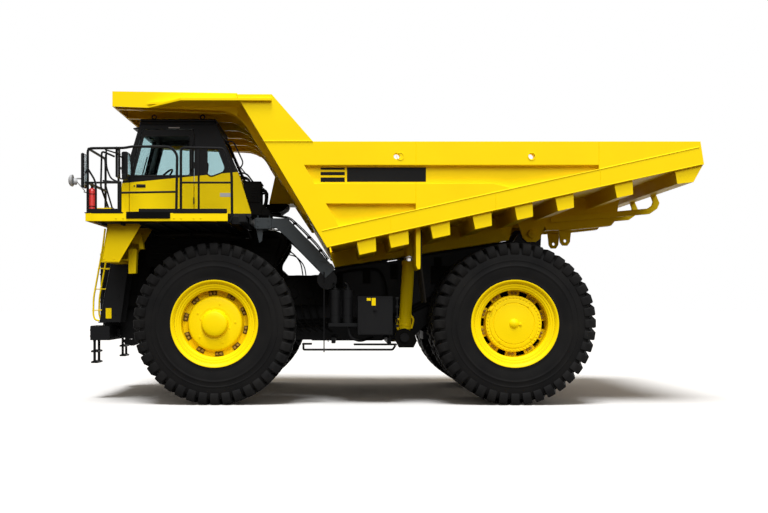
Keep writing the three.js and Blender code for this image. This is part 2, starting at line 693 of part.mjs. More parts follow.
// Floor with its cross ribs and the two stringers that rest over the frame and carry the hinge pins.
function bodyFloor() {
  const inside = WALL_INNER_Y - GAP
  const plate = sidePlate([
    [1940, floorUnder(1940)], [7975, floorUnder(7975)],
    [7950, floorUnder(7950) + FLOOR_PLATE], [1895, floorUnder(1895) + FLOOR_PLATE],
  ], -inside, inside)
  const ribs = RIBS.map(([d0, d1]) => [
    sidePlate([[d0, floorUnder(d0) - GAP], [d0 + 45, floorUnder(d0 + 45) - RIB_DEPTH],
      [d1 + 10, floorUnder(d1 + 10) - RIB_DEPTH], [d1, floorUnder(d1) - GAP]], -RIB_HALF, RIB_HALF),
    sidePlate([[d0, floorUnder(d0) - 20], [d1, floorUnder(d1) - 20], [d1, floorUnder(d1) + 20],
      [d0, floorUnder(d0) + 20]], -inside + 20, inside - 20),
  ]).flat()
  const tail = [
    sidePlate([[7524, floorUnder(7524) - GAP], [7560, 3620], [7824, 3650], [7978, floorUnder(7978) - GAP]],
      -RIB_HALF, RIB_HALF),
    sidePlate([[7524, floorUnder(7524) - 20], [7900, floorUnder(7900) - 20], [7900, floorUnder(7900) + 20],
      [7524, floorUnder(7524) + 20]], -inside + 20, inside - 20),
  ]
  const frameTop = (d) => along(d, 1900, 2275, 5240, 2790)
  const stringers = [1, -1].map((s) => sidePlate([
    [1870, floorUnder(1870) + 20], [1970, frameTop(1970) + STRINGER_GAP],
    [5150, frameTop(5150) + STRINGER_GAP], [5230, 3125], [5790, 3125], [5830, 3012], [6320, 3020],
    [7020, 3095], [7120, 3220], [7180, floorUnder(7180) + 20],
  ], s * FRAME_INNER_Y, s * FRAME_OUTER_Y))
  const brackets = [1, -1].map((s) => sidePlate([
    [5230, 3360], [5400, 2860], [5480, 2795], [5640, 2795], [5715, 2860], [5900, 3380],
  ], s * (FRAME_OUTER_Y + 6), s * (FRAME_OUTER_Y + 50)))
  const webs = [1, -1].map((s) => block(behind(5240), behind(5880),
    s * (FRAME_OUTER_Y - 10), s * (FRAME_OUTER_Y + 48), 3200, 3370))
  const pins = [1, -1].map((s) => rod([behind(HINGE_BEHIND), s * FRAME_INNER_Y, HINGE_Z],
    [behind(HINGE_BEHIND), s * 745, HINGE_Z], 60, 20))
  const lugOutline = [[6080, 3040], [6105, 2800], [6150, 2735], [6240, 2735], [6285, 2800], [6310, 3040]]
  const lugHole = crossTube(6195, 2820, 800, 30)
  const lugs = [1, -1].map((s) => cut(sidePlate(lugOutline, s * 490, s * 550), lugHole))
  const hoistEar = [[3205, floorUnder(3205) + 20], [3225, 2740], [3265, 2690], [3335, 2690], [3390, 2740],
    [3480, floorUnder(3480) + 20]]
  // The rod's eye hangs between the ears; its pin shows only as a boss on each ear.
  const hoistEars = [1, -1].map((s) => [1, -1].map((side) => [
    sidePlate(hoistEar, s * (HOIST_Y + side * 90), s * (HOIST_Y + side * 130)),
    rod([behind(HOIST_HEAD_BEHIND), s * (HOIST_Y + side * 100), HOIST_HEAD_Z],
      [behind(HOIST_HEAD_BEHIND), s * (HOIST_Y + side * 150), HOIST_HEAD_Z], 48, 14),
  ])).flat(2)
  return join(plate, ribs, tail, stringers, brackets, webs, pins, lugs, hoistEars)
}

function bodyFront() {
  const inside = WALL_INNER_Y - GAP
  const low = 2620
  const high = FRONT_WALL_TOP_Z
  const wall = sidePlate([
    [wallFrontAt(low), low], [wallFrontAt(high), high], [wallFrontAt(high) + 62, high],
    [wallFrontAt(2672) + 62, 2672], [1892, low],
  ], -inside, inside)
  const duct = sidePlate([[848, 4320], [690, 3600], [1300, 3600], [1200, 3760]], -1290, -480)
  return join(wall, duct)
}

const CANOPY_BEND_Z = 4865

// Canopy over the cab: plate, skirts, lip and the curved stiffeners that run on down the front wall.
function canopy() {
  const side = 2450
  const rear = wallFrontAt(FRONT_WALL_TOP_Z) - 2
  const bottom = 4930
  const plate = sidePlate([
    [CANOPY_FRONT, CANOPY_TOP_Z - 62], [CANOPY_FRONT, CANOPY_TOP_Z - 32],
    [rear, CANOPY_TOP_Z - 62], [rear, CANOPY_TOP_Z - 92],
  ], -side, side)
  const lip = block(behind(CANOPY_FRONT), behind(CANOPY_FRONT + 30), -side, side, bottom, CANOPY_TOP_Z)
  const curve = new THREE.QuadraticBezierCurve(new THREE.Vector2(40, CANOPY_BEND_Z),
    new THREE.Vector2(430, CANOPY_BEND_Z), new THREE.Vector2(wallFrontAt(4480) - 140, 4480))
  const bend = curve.getPoints(6).map((p) => [p.x, p.y])
  const webFoot = 3150
  const web = [
    [CANOPY_FRONT + 10, CANOPY_TOP_Z - 50], [CANOPY_FRONT + 10, bottom + 4], ...bend,
    [wallFrontAt(webFoot) - 60, webFoot], [wallFrontAt(webFoot) - 2, webFoot],
    [wallFrontAt(5046) - 2, 5046], [rear - 10, CANOPY_TOP_Z - 80],
  ]
  const webs = [-1.0, -0.6, -0.2, 0.2, 0.6, 1.0].map((k) => sidePlate(web, k * 2220 - 22, k * 2220 + 22))
  const skirtOutline = [
    [CANOPY_FRONT, bottom], [CANOPY_FRONT, CANOPY_TOP_Z], [rear, CANOPY_TOP_Z - 30], [rear, 4775],
    ...[...bend].reverse().slice(3),
  ]
  const skirts = [1, -1].map((s) => sidePlate(skirtOutline, s * (side - 30), s * side))
  const shelves = [1, -1].map((s) => floorPlate([
    [-1150, s * (side - 10)], [-400, s * HALF_WIDTH], [rear, s * HALF_WIDTH], [rear, s * (side - 10)],
  ], 4958, 4990))
  return join(plate, lip, webs, skirts, shelves)
}

// ---------------------------------------------------------------- hoist cylinders
const HOIST_FOOT = [behind(HOIST_FOOT_BEHIND), HOIST_Y, HOIST_FOOT_Z]
const HOIST_HEAD = [behind(HOIST_HEAD_BEHIND), HOIST_Y, HOIST_HEAD_Z]
const HOIST_LENGTH = Math.hypot(HOIST_HEAD[0] - HOIST_FOOT[0], HOIST_HEAD[2] - HOIST_FOOT[2])

// A point on the cylinder's line, a distance from its foot.
function onHoist(distance) {
  return HOIST_FOOT.map((v, i) => v + ((HOIST_HEAD[i] - v) * distance) / HOIST_LENGTH)
}

function hoistTube(from, to, radius, bore, sides) {
  const hole = rod(onHoist(from + 30), onHoist(to + 50), bore, sides)
  return cut(rod(onHoist(from), onHoist(to), radius, sides), hole)
}

function eye([x, y, z], radius, bore, halfWidth) {
  return cut(rod([x, y - halfWidth, z], [x, y + halfWidth, z], radius, 18),
    rod([x, y - halfWidth - 20, z], [x, y + halfWidth + 20, z], bore, 18))
}

function hoistBarrel() {
  return cut(
    join(hoistTube(150, 1320, 108, 90, 20), eye(HOIST_FOOT, 165, 40, 50)),
    rod([HOIST_FOOT[0], HOIST_Y - 80, HOIST_FOOT_Z], [HOIST_FOOT[0], HOIST_Y + 80, HOIST_FOOT_Z], 82, 20),
  )
}

function hoistStage() {
  return hoistTube(185, 1400, 86, 70, 20)
}

function hoistRod() {
  return cut(
    join(rod(onHoist(220), onHoist(HOIST_LENGTH - 60), 64, 16), eye(HOIST_HEAD, 92, 40, 45)),
    rod([HOIST_HEAD[0], HOIST_Y - 80, HOIST_HEAD_Z], [HOIST_HEAD[0], HOIST_Y + 80, HOIST_HEAD_Z], 52, 16),
  )
}

// ---------------------------------------------------------------- assembly
const at = (geometry, x, z) => geometry.translate(x, 0, z)

pair('front_tyre', at(tyre(FRONT_WHEEL_Y), FRONT_AXLE_X, AXLE_Z), PAINT.rubber)
pair('front_rim', at(frontRim(), FRONT_AXLE_X, AXLE_Z), PAINT.yellow)
pair('rear_outer_tyre', at(tyre(REAR_OUTER_Y), REAR_AXLE_X, AXLE_Z), PAINT.rubber)
pair('rear_inner_tyre', at(tyre(REAR_INNER_Y), REAR_AXLE_X, AXLE_Z), PAINT.rubber)
pair('rear_rim', at(rearRim(), REAR_AXLE_X, AXLE_Z), PAINT.yellow)
pair('knuckle', knuckle(), PAINT.black)
part('tie_rod', tieRod(), PAINT.black)
pair('wishbone', wishbone(), PAINT.black)
pair('front_strut', frontStrut(), PAINT.black)
part('main_frame', mainFrame(), PAINT.black)
part('front_bumper', frontBumper(), PAINT.black)
part('radiator', radiator(), PAINT.black)
part('engine_block', engine(), PAINT.black)
part('transmission', transmission(), PAINT.black)
part('rear_axle_housing', rearAxle(), PAINT.black)
part('deck', deck(), PAINT.yellow)
pair('lamp_panel', lampPanel(), PAINT.yellow)
pair('ladder', ladder(), PAINT.yellow)
part('railing_left', leftRailing(), PAINT.black)
part('railing_right', rightRailing(), PAINT.black)
part('deck_brace', deckBraces(), PAINT.slate)
part('deck_cabinet', deckCabinet(), PAINT.yellow)
part('air_cleaner', airCleaners(), PAINT.black)
part('fuel_tank', fuelTank(), PAINT.black)
part('hydraulic_tank', hydraulicTank(), PAINT.black)
part('cab_floor', cabFloor(), PAINT.yellow)
part('cab_left_wall', cabSideWall(CAB_LEFT_Y - CAB_WALL, CAB_LEFT_Y, [DOOR, QUARTER_WINDOW]), PAINT.yellow)
part('cab_right_wall', cabSideWall(CAB_RIGHT_Y, CAB_RIGHT_Y + CAB_WALL, [RIGHT_WINDOW]), PAINT.yellow)
part('cab_front_wall', cabFront(), PAINT.yellow)
part('cab_rear_wall', cabRear(), PAINT.yellow)
part('cab_roof', cabRoof(), PAINT.black)
part('windscreen', endPane(cabFrontAt, 1, FRONT_PANE_Z, 70), PAINT.glass)
part('rear_window', endPane(cabRearAt, -1, REAR_PANE_Z, 250), PAINT.glass)
part('quarter_window', sidePane(QUARTER_WINDOW, CAB_LEFT_Y - CAB_WALL / 2), PAINT.glass)
part('right_window', sidePane(RIGHT_WINDOW, CAB_RIGHT_Y + CAB_WALL / 2), PAINT.glass)
part('cab_door', cabDoor(), PAINT.yellow)
part('door_window', sidePane(DOOR_WINDOW, CAB_LEFT_Y - CAB_WALL / 2), PAINT.glass)
part('seat', seat(), PAINT.cloth)
part('dashboard', dashboard(), PAINT.black)
part('body_floor', bodyFloor(), PAINT.yellow)
pair('body_side', bodySide(), PAINT.yellow)
part('body_front', bodyFront(), PAINT.yellow)
part('canopy', canopy(), PAINT.yellow)
pair('hoist_barrel', hoistBarrel(), PAINT.yellow)
pair('hoist_stage', hoistStage(), PAINT.steel)
pair('hoist_rod', hoistRod(), PAINT.steel)

export default group
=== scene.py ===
# A rigid mining dump truck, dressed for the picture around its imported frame.
# Metres, +X forward, +Y to the truck's left (the cab side), +Z up.
import json
import math

import bmesh
import bpy
from mathutils import Matrix, Vector


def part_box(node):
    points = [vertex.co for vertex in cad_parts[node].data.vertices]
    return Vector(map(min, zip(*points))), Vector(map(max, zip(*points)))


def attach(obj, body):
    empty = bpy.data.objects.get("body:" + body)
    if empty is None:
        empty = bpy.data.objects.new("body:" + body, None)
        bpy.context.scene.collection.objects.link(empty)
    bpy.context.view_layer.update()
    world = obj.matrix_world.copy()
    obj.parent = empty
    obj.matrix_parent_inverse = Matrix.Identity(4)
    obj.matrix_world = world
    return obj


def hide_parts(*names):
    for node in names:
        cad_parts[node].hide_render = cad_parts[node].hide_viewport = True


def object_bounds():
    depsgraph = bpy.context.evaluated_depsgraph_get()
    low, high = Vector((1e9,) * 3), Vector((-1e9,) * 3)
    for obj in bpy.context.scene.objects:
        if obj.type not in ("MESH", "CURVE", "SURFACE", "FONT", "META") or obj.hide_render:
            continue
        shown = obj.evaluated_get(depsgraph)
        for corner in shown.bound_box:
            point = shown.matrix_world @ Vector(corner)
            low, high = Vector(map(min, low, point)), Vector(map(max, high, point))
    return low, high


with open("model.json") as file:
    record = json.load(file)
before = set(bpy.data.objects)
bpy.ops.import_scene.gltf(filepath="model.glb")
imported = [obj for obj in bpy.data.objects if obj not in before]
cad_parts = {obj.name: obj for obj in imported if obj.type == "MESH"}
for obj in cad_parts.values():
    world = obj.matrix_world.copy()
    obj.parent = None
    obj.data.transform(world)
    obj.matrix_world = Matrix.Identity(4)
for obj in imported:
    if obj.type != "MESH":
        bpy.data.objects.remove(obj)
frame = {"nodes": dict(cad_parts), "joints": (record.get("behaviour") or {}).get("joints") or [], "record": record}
cad_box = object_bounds()

# ---------------------------------------------------------------- sizes taken from the frame
SIDES = {"left": 1, "right": -1}
TYRE_LOW, TYRE_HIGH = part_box("front_tyre_left")
FRONT_AXLE = (TYRE_LOW + TYRE_HIGH) / 2
REAR_AXLE = (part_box("rear_outer_tyre_left")[0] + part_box("rear_outer_tyre_left")[1]) / 2
DECK_LOW, DECK_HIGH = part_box("deck")
DECK_TOP = DECK_LOW.z + 0.135


def behind(distance):
    """The x of a place given as a distance behind the front axle."""
    return FRONT_AXLE.x - distance


# ---------------------------------------------------------------- camera and light
CAMERA_PLACE = (0.70, 19.65, 1.69)
CAMERA_LENS = 48.8
CAMERA_SHIFT = (0.0527, 0.0599)


def make_camera():
    data = bpy.data.cameras.new("camera")
    data.lens = CAMERA_LENS
    data.sensor_width = 36.0
    data.shift_x, data.shift_y = CAMERA_SHIFT
    data.clip_end = 400.0
    camera = bpy.data.objects.new("camera", data)
    camera.location = CAMERA_PLACE
    camera.rotation_euler = (math.pi / 2, 0.0, math.pi)
    bpy.context.scene.collection.objects.link(camera)
    bpy.context.scene.camera = camera


def sun(name, towards, strength, spread):
    """A soft sun whose light travels in the direction `towards`."""
    data = bpy.data.lights.new(name, "SUN")
    data.energy = strength
    data.angle = math.radians(spread)
    lamp = bpy.data.objects.new(name, data)
    lamp.rotation_euler = Vector(towards).to_track_quat("-Z", "Y").to_euler()
    bpy.context.scene.collection.objects.link(lamp)
    return lamp


def keep_off(lamp, thing):
    """Lets a lamp light everything but one object."""
    lit = bpy.data.collections.new(lamp.name + "_receivers")
    lit.objects.link(thing)
    lamp.light_linking.receiver_collection = lit
    lit.collection_objects[0].light_linking.link_state = "EXCLUDE"


def seen_through(nodes, links, rays):
    """One for the rays that windows and gloss send on to the surroundings."""
    both = nodes.new("ShaderNodeMath")
    both.operation = "MAXIMUM"
    links.new(rays.outputs["Is Glossy Ray"], both.inputs[0])
    links.new(rays.outputs["Is Transmission Ray"], both.inputs[1])
    return both.outputs[0]


def make_world(light, seen):
    """An even studio: `light` falls on the object, and `seen` is what cameras and gloss see."""
    world = bpy.data.worlds.new("studio")
    bpy.context.scene.world = world
    world.use_nodes = True
    nodes, links = world.node_tree.nodes, world.node_tree.links
    background = nodes["Background"]
    rays = nodes.new("ShaderNodeLightPath")
    shown = nodes.new("ShaderNodeMath")
    shown.operation = "MAXIMUM"
    links.new(rays.outputs["Is Camera Ray"], shown.inputs[0])
    links.new(seen_through(nodes, links, rays), shown.inputs[1])
    strength = nodes.new("ShaderNodeMapRange")
    strength.inputs["To Min"].default_value = light
    strength.inputs["To Max"].default_value = seen
    links.new(shown.outputs[0], strength.inputs["Value"])
    links.new(strength.outputs["Result"], background.inputs["Strength"])
    tint = nodes.new("ShaderNodeMix")
    tint.data_type = "RGBA"
    tint.inputs["A"].default_value = (1.0, 0.90, 0.78, 1)
    tint.inputs["B"].default_value = (1, 1, 1, 1)
    links.new(shown.outputs[0], tint.inputs["Factor"])
    links.new(tint.outputs["Result"], background.inputs["Color"])


def make_floor():
    """A wide pale floor: white to the camera, darker as a source of bounced light."""
    bm = bmesh.new()
    bmesh.ops.create_grid(bm, x_segments=2, y_segments=2, size=160.0)
    mesh = bpy.data.meshes.new("floor")
    bm.to_mesh(mesh)
    bm.free()
    floor = bpy.data.objects.new("floor", mesh)
    floor.location.z = cad_box[0][2] - 0.002
    bpy.context.scene.collection.objects.link(floor)
    material = bpy.data.materials.new("studio_floor")
    material.use_nodes = True
    nodes, links = material.node_tree.nodes, material.node_tree.links
    shader = nodes["Principled BSDF"]
    shader.inputs["Roughness"].default_value = 1.0
    shader.inputs["Specular IOR Level"].default_value = 0.0
    rays = nodes.new("ShaderNodeLightPath")
    shown = nodes.new("ShaderNodeMath")
    shown.operation = "MAXIMUM"
    links.new(rays.outputs["Is Camera Ray"], shown.inputs[0])
    links.new(seen_through(nodes, links, rays), shown.inputs[1])
    colour = nodes.new("ShaderNodeMix")
    colour.data_type = "RGBA"
    colour.inputs["A"].default_value = (0.085, 0.050, 0.026, 1)
    colour.inputs["B"].default_value = (0.96, 0.96, 0.96, 1)
    links.new(shown.outputs[0], colour.inputs["Factor"])
    links.new(colour.outputs["Result"], shader.inputs["Base Color"])
    floor.data.materials.append(material)
    return floor


make_camera()
make_world(light=0.34, seen=1.0)
floor = make_floor()
sun("key", towards=(-0.08, -0.30, -0.95), strength=3.0, spread=24)
fill = sun("fill", towards=(0.20, -0.88, -0.68), strength=2.35, spread=42)
back_fill = sun("back_fill", towards=(-0.2, 0.9, -0.5), strength=0.5, spread=70)
for lamp in (fill, back_fill):
    keep_off(lamp, floor)
bpy.context.scene.view_settings.view_transform = "Standard"


# ---------------------------------------------------------------- materials
def surface(name, colour, second, roughness=0.5, metallic=0.0, patch_size=0.9, grain_size=0.004,
            grain_depth=0.0003, coat=0.0, specular=0.5, roughness_change=0.08):
    """A procedural finish: two colours in soft patches, uneven gloss and a fine raised grain."""
    material = bpy.data.materials.new(name)
    material.use_nodes = True
    nodes, links = material.node_tree.nodes, material.node_tree.links
    shader = nodes["Principled BSDF"]
    shader.inputs["Metallic"].default_value = metallic
    shader.inputs["Coat Weight"].default_value = coat
    shader.inputs["Coat Roughness"].default_value = 0.12
    shader.inputs["Specular IOR Level"].default_value = specular
    place = nodes.new("ShaderNodeTexCoord")

    def noise(size, detail):
        node = nodes.new("ShaderNodeTexNoise")
        node.inputs["Scale"].default_value = 1.0 / size
        node.inputs["Detail"].default_value = detail
        links.new(place.outputs["Object"], node.inputs["Vector"])
        return node.outputs["Fac"]

    patches = noise(patch_size, 5.0)
    spread = nodes.new("ShaderNodeMapRange")
    spread.inputs["From Min"].default_value = 0.35
    spread.inputs["From Max"].default_value = 0.70
    links.new(patches, spread.inputs["Value"])
    mix = nodes.new("ShaderNodeMix")
    mix.data_type = "RGBA"
    mix.inputs["A"].default_value = (*colour, 1)
    mix.inputs["B"].default_value = (*second, 1)
    links.new(spread.outputs["Result"], mix.inputs["Factor"])
    links.new(mix.outputs["Result"], shader.inputs["Base Color"])
    gloss = nodes.new("ShaderNodeMapRange")
    gloss.inputs["To Min"].default_value = max(0.02, roughness - roughness_change)
    gloss.inputs["To Max"].default_value = min(1.0, roughness + roughness_change)
    links.new(noise(patch_size * 0.3, 3.0), gloss.inputs["Value"])
    links.new(gloss.outputs["Result"], shader.inputs["Roughness"])
    bump = nodes.new("ShaderNodeBump")
    bump.inputs["Strength"].default_value = 0.6
    bump.inputs["Distance"].default_value = grain_depth
    links.new(noise(grain_size, 2.0), bump.inputs["Height"])
    links.new(bump.outputs["Normal"], shader.inputs["Normal"])
    return material


def two_tone(name, first, second, way, split):
    """Paint in two colours: the second one where a point's reach along `way` is more than `split`."""
    material = surface(name, first, [c * 0.93 for c in first], **PAINT_FINISH)
    nodes, links = material.node_tree.nodes, material.node_tree.links
    shader = nodes["Principled BSDF"]
    place = nodes.new("ShaderNodeTexCoord")
    reach = nodes.new("ShaderNodeVectorMath")
    reach.operation = "DOT_PRODUCT"
    reach.inputs[1].default_value = way
    links.new(place.outputs["Object"], reach.inputs[0])
    beyond = nodes.new("ShaderNodeMath")
    beyond.operation = "GREATER_THAN"
    beyond.inputs[1].default_value = split
    links.new(reach.outputs["Value"], beyond.inputs[0])
    both = nodes.new("ShaderNodeMix")
    both.data_type = "RGBA"
    links.new(shader.inputs["Base Color"].links[0].from_socket, both.inputs["A"])
    both.inputs["B"].default_value = (*second, 1)
    links.new(beyond.outputs[0], both.inputs["Factor"])
    links.new(both.outputs["Result"], shader.inputs["Base Color"])
    return material


def window_glass(name, tint):
    """Tinted glass that bends the view very little."""
    material = surface(name, tint, [c * 0.97 for c in tint], roughness=0.03, grain_depth=0.0,
                       roughness_change=0.01, patch_size=1.6, specular=0.3)
    shader = material.node_tree.nodes["Principled BSDF"]
    shader.inputs["Transmission Weight"].default_value = 1.0
    shader.inputs["IOR"].default_value = 1.08
    return material


PAINT_FINISH = {"roughness": 0.45, "specular": 0.10}
YELLOW_COLOUR = (0.93, 0.69, 0.0)
BLACK_COLOUR = (0.0060, 0.0062, 0.0068)

YELLOW = surface("yellow_paint", YELLOW_COLOUR, (0.90, 0.655, 0.0), **PAINT_FINISH)
INSIDE_YELLOW = surface("body_lining", (0.88, 0.63, 0.002), (0.80, 0.55, 0.004), roughness=0.5,
                        specular=0.2,
                        patch_size=1.4, grain_size=0.012, grain_depth=0.0008)
BLACK = surface("black_paint", BLACK_COLOUR, (0.0085, 0.0086, 0.0092), roughness=0.42, specular=0.07)
MATT_BLACK = surface("matt_black", (0.0035, 0.0034, 0.0033), (0.0065, 0.0061, 0.0056), roughness=0.72,
                     specular=0.05)
SLATE = surface("slate_paint", (0.022, 0.028, 0.032), (0.032, 0.040, 0.045), roughness=0.42,
                specular=0.25)
RUBBER = surface("tyre_rubber", (0.0055, 0.0055, 0.0058), (0.0095, 0.0092, 0.009), roughness=0.62,
                 specular=0.05, grain_size=0.02, grain_depth=0.0012, patch_size=0.5)
FLAP_RUBBER = surface("flap_rubber", (0.007, 0.0062, 0.0052), (0.013, 0.011, 0.009), roughness=0.8,
                      specular=0.05, grain_size=0.012, grain_depth=0.001)
STEEL = surface("bolt_steel", (0.46, 0.43, 0.40), (0.33, 0.27, 0.22), roughness=0.38, metallic=0.9,
                patch_size=0.05)
CHROME = surface("rod_chrome", (0.78, 0.79, 0.80), (0.70, 0.71, 0.73), roughness=0.16,
                 metallic=1.0, roughness_change=0.05)
RED = surface("bottle_red", (0.74, 0.022, 0.016), (0.64, 0.018, 0.014), roughness=0.32, coat=0.4)
GREY_PLASTIC = surface("grey_plastic", (0.42, 0.43, 0.44), (0.34, 0.35, 0.36), roughness=0.45)
LAMP_GLASS = surface("lamp_glass", (0.72, 0.75, 0.77), (0.62, 0.65, 0.68), roughness=0.12,
                     coat=0.8, patch_size=0.05, grain_size=0.018, grain_depth=0.0012)
AMBER = surface("amber_lens", (0.85, 0.26, 0.01), (0.75, 0.20, 0.01), roughness=0.15, coat=0.7)
GLASS = window_glass("window_glass", (0.49, 0.61, 0.62))
RUBBER_SEAL = surface("window_seal", (0.006, 0.006, 0.006), (0.009, 0.009, 0.009), roughness=0.6,
                      specular=0.2)
CLOTH = surface("seat_cloth", (0.014, 0.015, 0.017), (0.022, 0.023, 0.026), roughness=0.95, specular=0.15,
                grain_size=0.003, grain_depth=0.0012)
DASH = surface("dash_plastic", (0.012, 0.0125, 0.0135), (0.018, 0.0185, 0.020), roughness=0.62,
               specular=0.2,
               grain_size=0.0025, grain_depth=0.0005)
NUT_STEEL = surface("wheel_nut", (0.42, 0.27, 0.06), (0.30, 0.19, 0.05), roughness=0.5, specular=0.2,
                    patch_size=0.05)
CLAMP_BROWN = surface("wheel_clamp", (0.13, 0.08, 0.012), (0.20, 0.13, 0.02), roughness=0.6, specular=0.1,
                      patch_size=0.08)
SHEET = surface("label_grey", (0.46, 0.47, 0.48), (0.40, 0.41, 0.42), roughness=0.35)
ENGINE_GREY = surface("engine_enamel", (0.010, 0.0095, 0.009), (0.022, 0.019, 0.015), specular=0.07,
                      roughness=0.55, grain_size=0.01, grain_depth=0.0008)


# ---------------------------------------------------------------- mesh building
class Form:
    """A mesh being built out of simple closed shapes, in the truck's own coordinates."""

    def __init__(self):
        self.bm = bmesh.new()

    def add(self, other, matrix=None):
        """Copies another form in, moved by a matrix."""
        mesh = bpy.data.meshes.new("copy")
        other.bm.to_mesh(mesh)
        if matrix is not None:
            mesh.transform(matrix)
        self.bm.from_mesh(mesh)
        bpy.data.meshes.remove(mesh)
        return self

    def _take(self, bm, bevel, segments, limit=30.0):
        """Bevels a finished shape's corners and keeps it."""
        bmesh.ops.recalc_face_normals(bm, faces=bm.faces)
        if bevel:
            sharp = [e for e in bm.edges
                     if len(e.link_faces) == 2 and e.calc_face_angle() > math.radians(limit)]
            bmesh.ops.bevel(bm, geom=sharp, offset=bevel, segments=segments, profile=0.5,
                            affect="EDGES", clamp_overlap=True)
        part = Form.__new__(Form)
        part.bm = bm
        self.add(part)
        bm.free()
        return self

    def box(self, low, high, bevel=0.004, matrix=None):
        low, high = Vector(low), Vector(high)
        bm = bmesh.new()
        bmesh.ops.create_cube(bm, size=1.0)
        bmesh.ops.scale(bm, vec=[abs(v) for v in high - low], verts=bm.verts)
        bmesh.ops.translate(bm, vec=(low + high) / 2, verts=bm.verts)
        if matrix is not None:
            bmesh.ops.transform(bm, matrix=matrix, verts=bm.verts)
        return self._take(bm, bevel, 2)

    def prism(self, outline, start, end, across="y", bevel=0.004):
        """An outline drawn across one axis, as thick as start to end along it."""
        place = {"y": lambda a, b, t: (a, t, b), "z": lambda a, b, t: (a, b, t),
                 "x": lambda a, b, t: (t, a, b)}[across]
        bm = bmesh.new()
        first = [bm.verts.new(place(a, b, start)) for a, b in outline]
        last = [bm.verts.new(place(a, b, end)) for a, b in outline]
        bm.faces.new(first)
        bm.faces.new(last[::-1])
        for i, vert in enumerate(first):
            j = (i + 1) % len(first)
            bm.faces.new((first[j], vert, last[i], last[j]))
        return self._take(bm, bevel, 2)

    def side(self, outline, y0, y1, bevel=0.004):
        """A prism across the truck whose outline is (distance behind the front axle, z) pairs."""
        return self.prism([(behind(d), z) for d, z in outline], y0, y1, "y", bevel)

    def tube(self, points, radius, sides=10, bend=0.0, closed=False):
        """A round bar through the points, with its corners bent to a radius of about `bend`."""
        path = rounded([Vector(p) for p in points], bend, closed)
        bm = bmesh.new()
        count = len(path)
        rings = []
        normal = None
        for i, at in enumerate(path):
            before = path[i - 1] if i or closed else None
            after = path[(i + 1) % count] if i + 1 < count or closed else None
            into = (at - before).normalized() if before is not None else None
            out = (after - at).normalized() if after is not None else None
            way = (into or out) + (out or into)
            way = way.normalized() if way.length > 1e-6 else out
            if normal is None:
                guide = Vector((0, 0, 1)) if abs(way.z) < 0.9 else Vector((1, 0, 0))
                normal = way.cross(guide).normalized()
            normal = (normal - way * normal.dot(way)).normalized()
            other = way.cross(normal)
            spread = radius
            if into is not None and out is not None:
                spread = radius / max(0.5, math.cos(into.angle(out) / 2))
            rings.append([bm.verts.new(at + normal * math.cos(a) * spread + other * math.sin(a) * spread)
                          for a in (2 * math.pi * k / sides for k in range(sides))])
        for i in range(count if closed else count - 1):
            a, b = rings[i], rings[(i + 1) % count]
            for k in range(sides):
                bm.faces.new((a[k], a[(k + 1) % sides], b[(k + 1) % sides], b[k]))
        if not closed:
            bm.faces.new(rings[0][::-1])
            bm.faces.new(rings[-1])
        return self._take(bm, 0.0, 1)

    def lathe(self, profile, centre, segments=64, across="y", arc=None):
        """A ring turned about an axis through `centre`: (radius, distance along) pairs, closed."""
        turn = {"y": Matrix.Identity(3), "z": Matrix.Rotation(math.pi / 2, 3, "X"),
                "x": Matrix.Rotation(-math.pi / 2, 3, "Z")}[across]
        bm = bmesh.new()
        centre = Vector(centre)
        rings = []
        for k in range(segments):
            a = 2 * math.pi * k / segments
            rings.append([bm.verts.new(centre + turn @ Vector((math.cos(a) * r, t, math.sin(a) * r)))
                          for r, t in profile])
        count = len(profile)
        for k in range(segments):
            a, b = rings[k], rings[(k + 1) % segments]
            for i in range(count):
                j = (i + 1) % count
                if profile[i][0] < 1e-6 and profile[j][0] < 1e-6:
                    continue
                bm.faces.new((a[i], a[j], b[j], b[i]))
        bmesh.ops.remove_doubles(bm, verts=bm.verts, dist=1e-5)
        return self._take(bm, 0.0, 1)

    def disc(self, a, b, radius, sides=24, bevel=0.003):
        """A round solid between two points, with its rims eased."""
        a, b = Vector(a), Vector(b)
        bm = bmesh.new()
        bmesh.ops.create_cone(bm, cap_ends=True, segments=sides, radius1=radius, radius2=radius,
                              depth=(b - a).length)
        spin = (b - a).to_track_quat("Z", "X").to_matrix().to_4x4()
        bmesh.ops.transform(bm, matrix=Matrix.Translation((a + b) / 2) @ spin, verts=bm.verts)
        return self._take(bm, bevel, 2, 50.0)

    def bolt(self, at, along, radius=0.018, height=None):
        """A hex head on its washer."""
        at, along = Vector(at), Vector(along).normalized()
        height = height or radius * 0.9
        self.disc(at, at + along * radius * 0.22, radius * 1.35, 12, 0.0)
        return self.disc(at + along * radius * 0.2, at + along * height, radius, 6, radius * 0.12)

    def nut(self, at, along, radius=0.02):
        """A hex nut with the end of its stud."""
        at, along = Vector(at), Vector(along).normalized()
        self.disc(at, at + along * radius * 1.1, radius, 6, radius * 0.12)
        return self.disc(at + along * radius, at + along * radius * 1.7, radius * 0.55, 10, radius * 0.08)

    def mirrored(self):
        """The same form on the truck's other side."""
        other = Form()
        other.add(self, Matrix.Scale(-1, 4, (0, 1, 0)))
        bmesh.ops.reverse_faces(other.bm, faces=other.bm.faces)
        return other

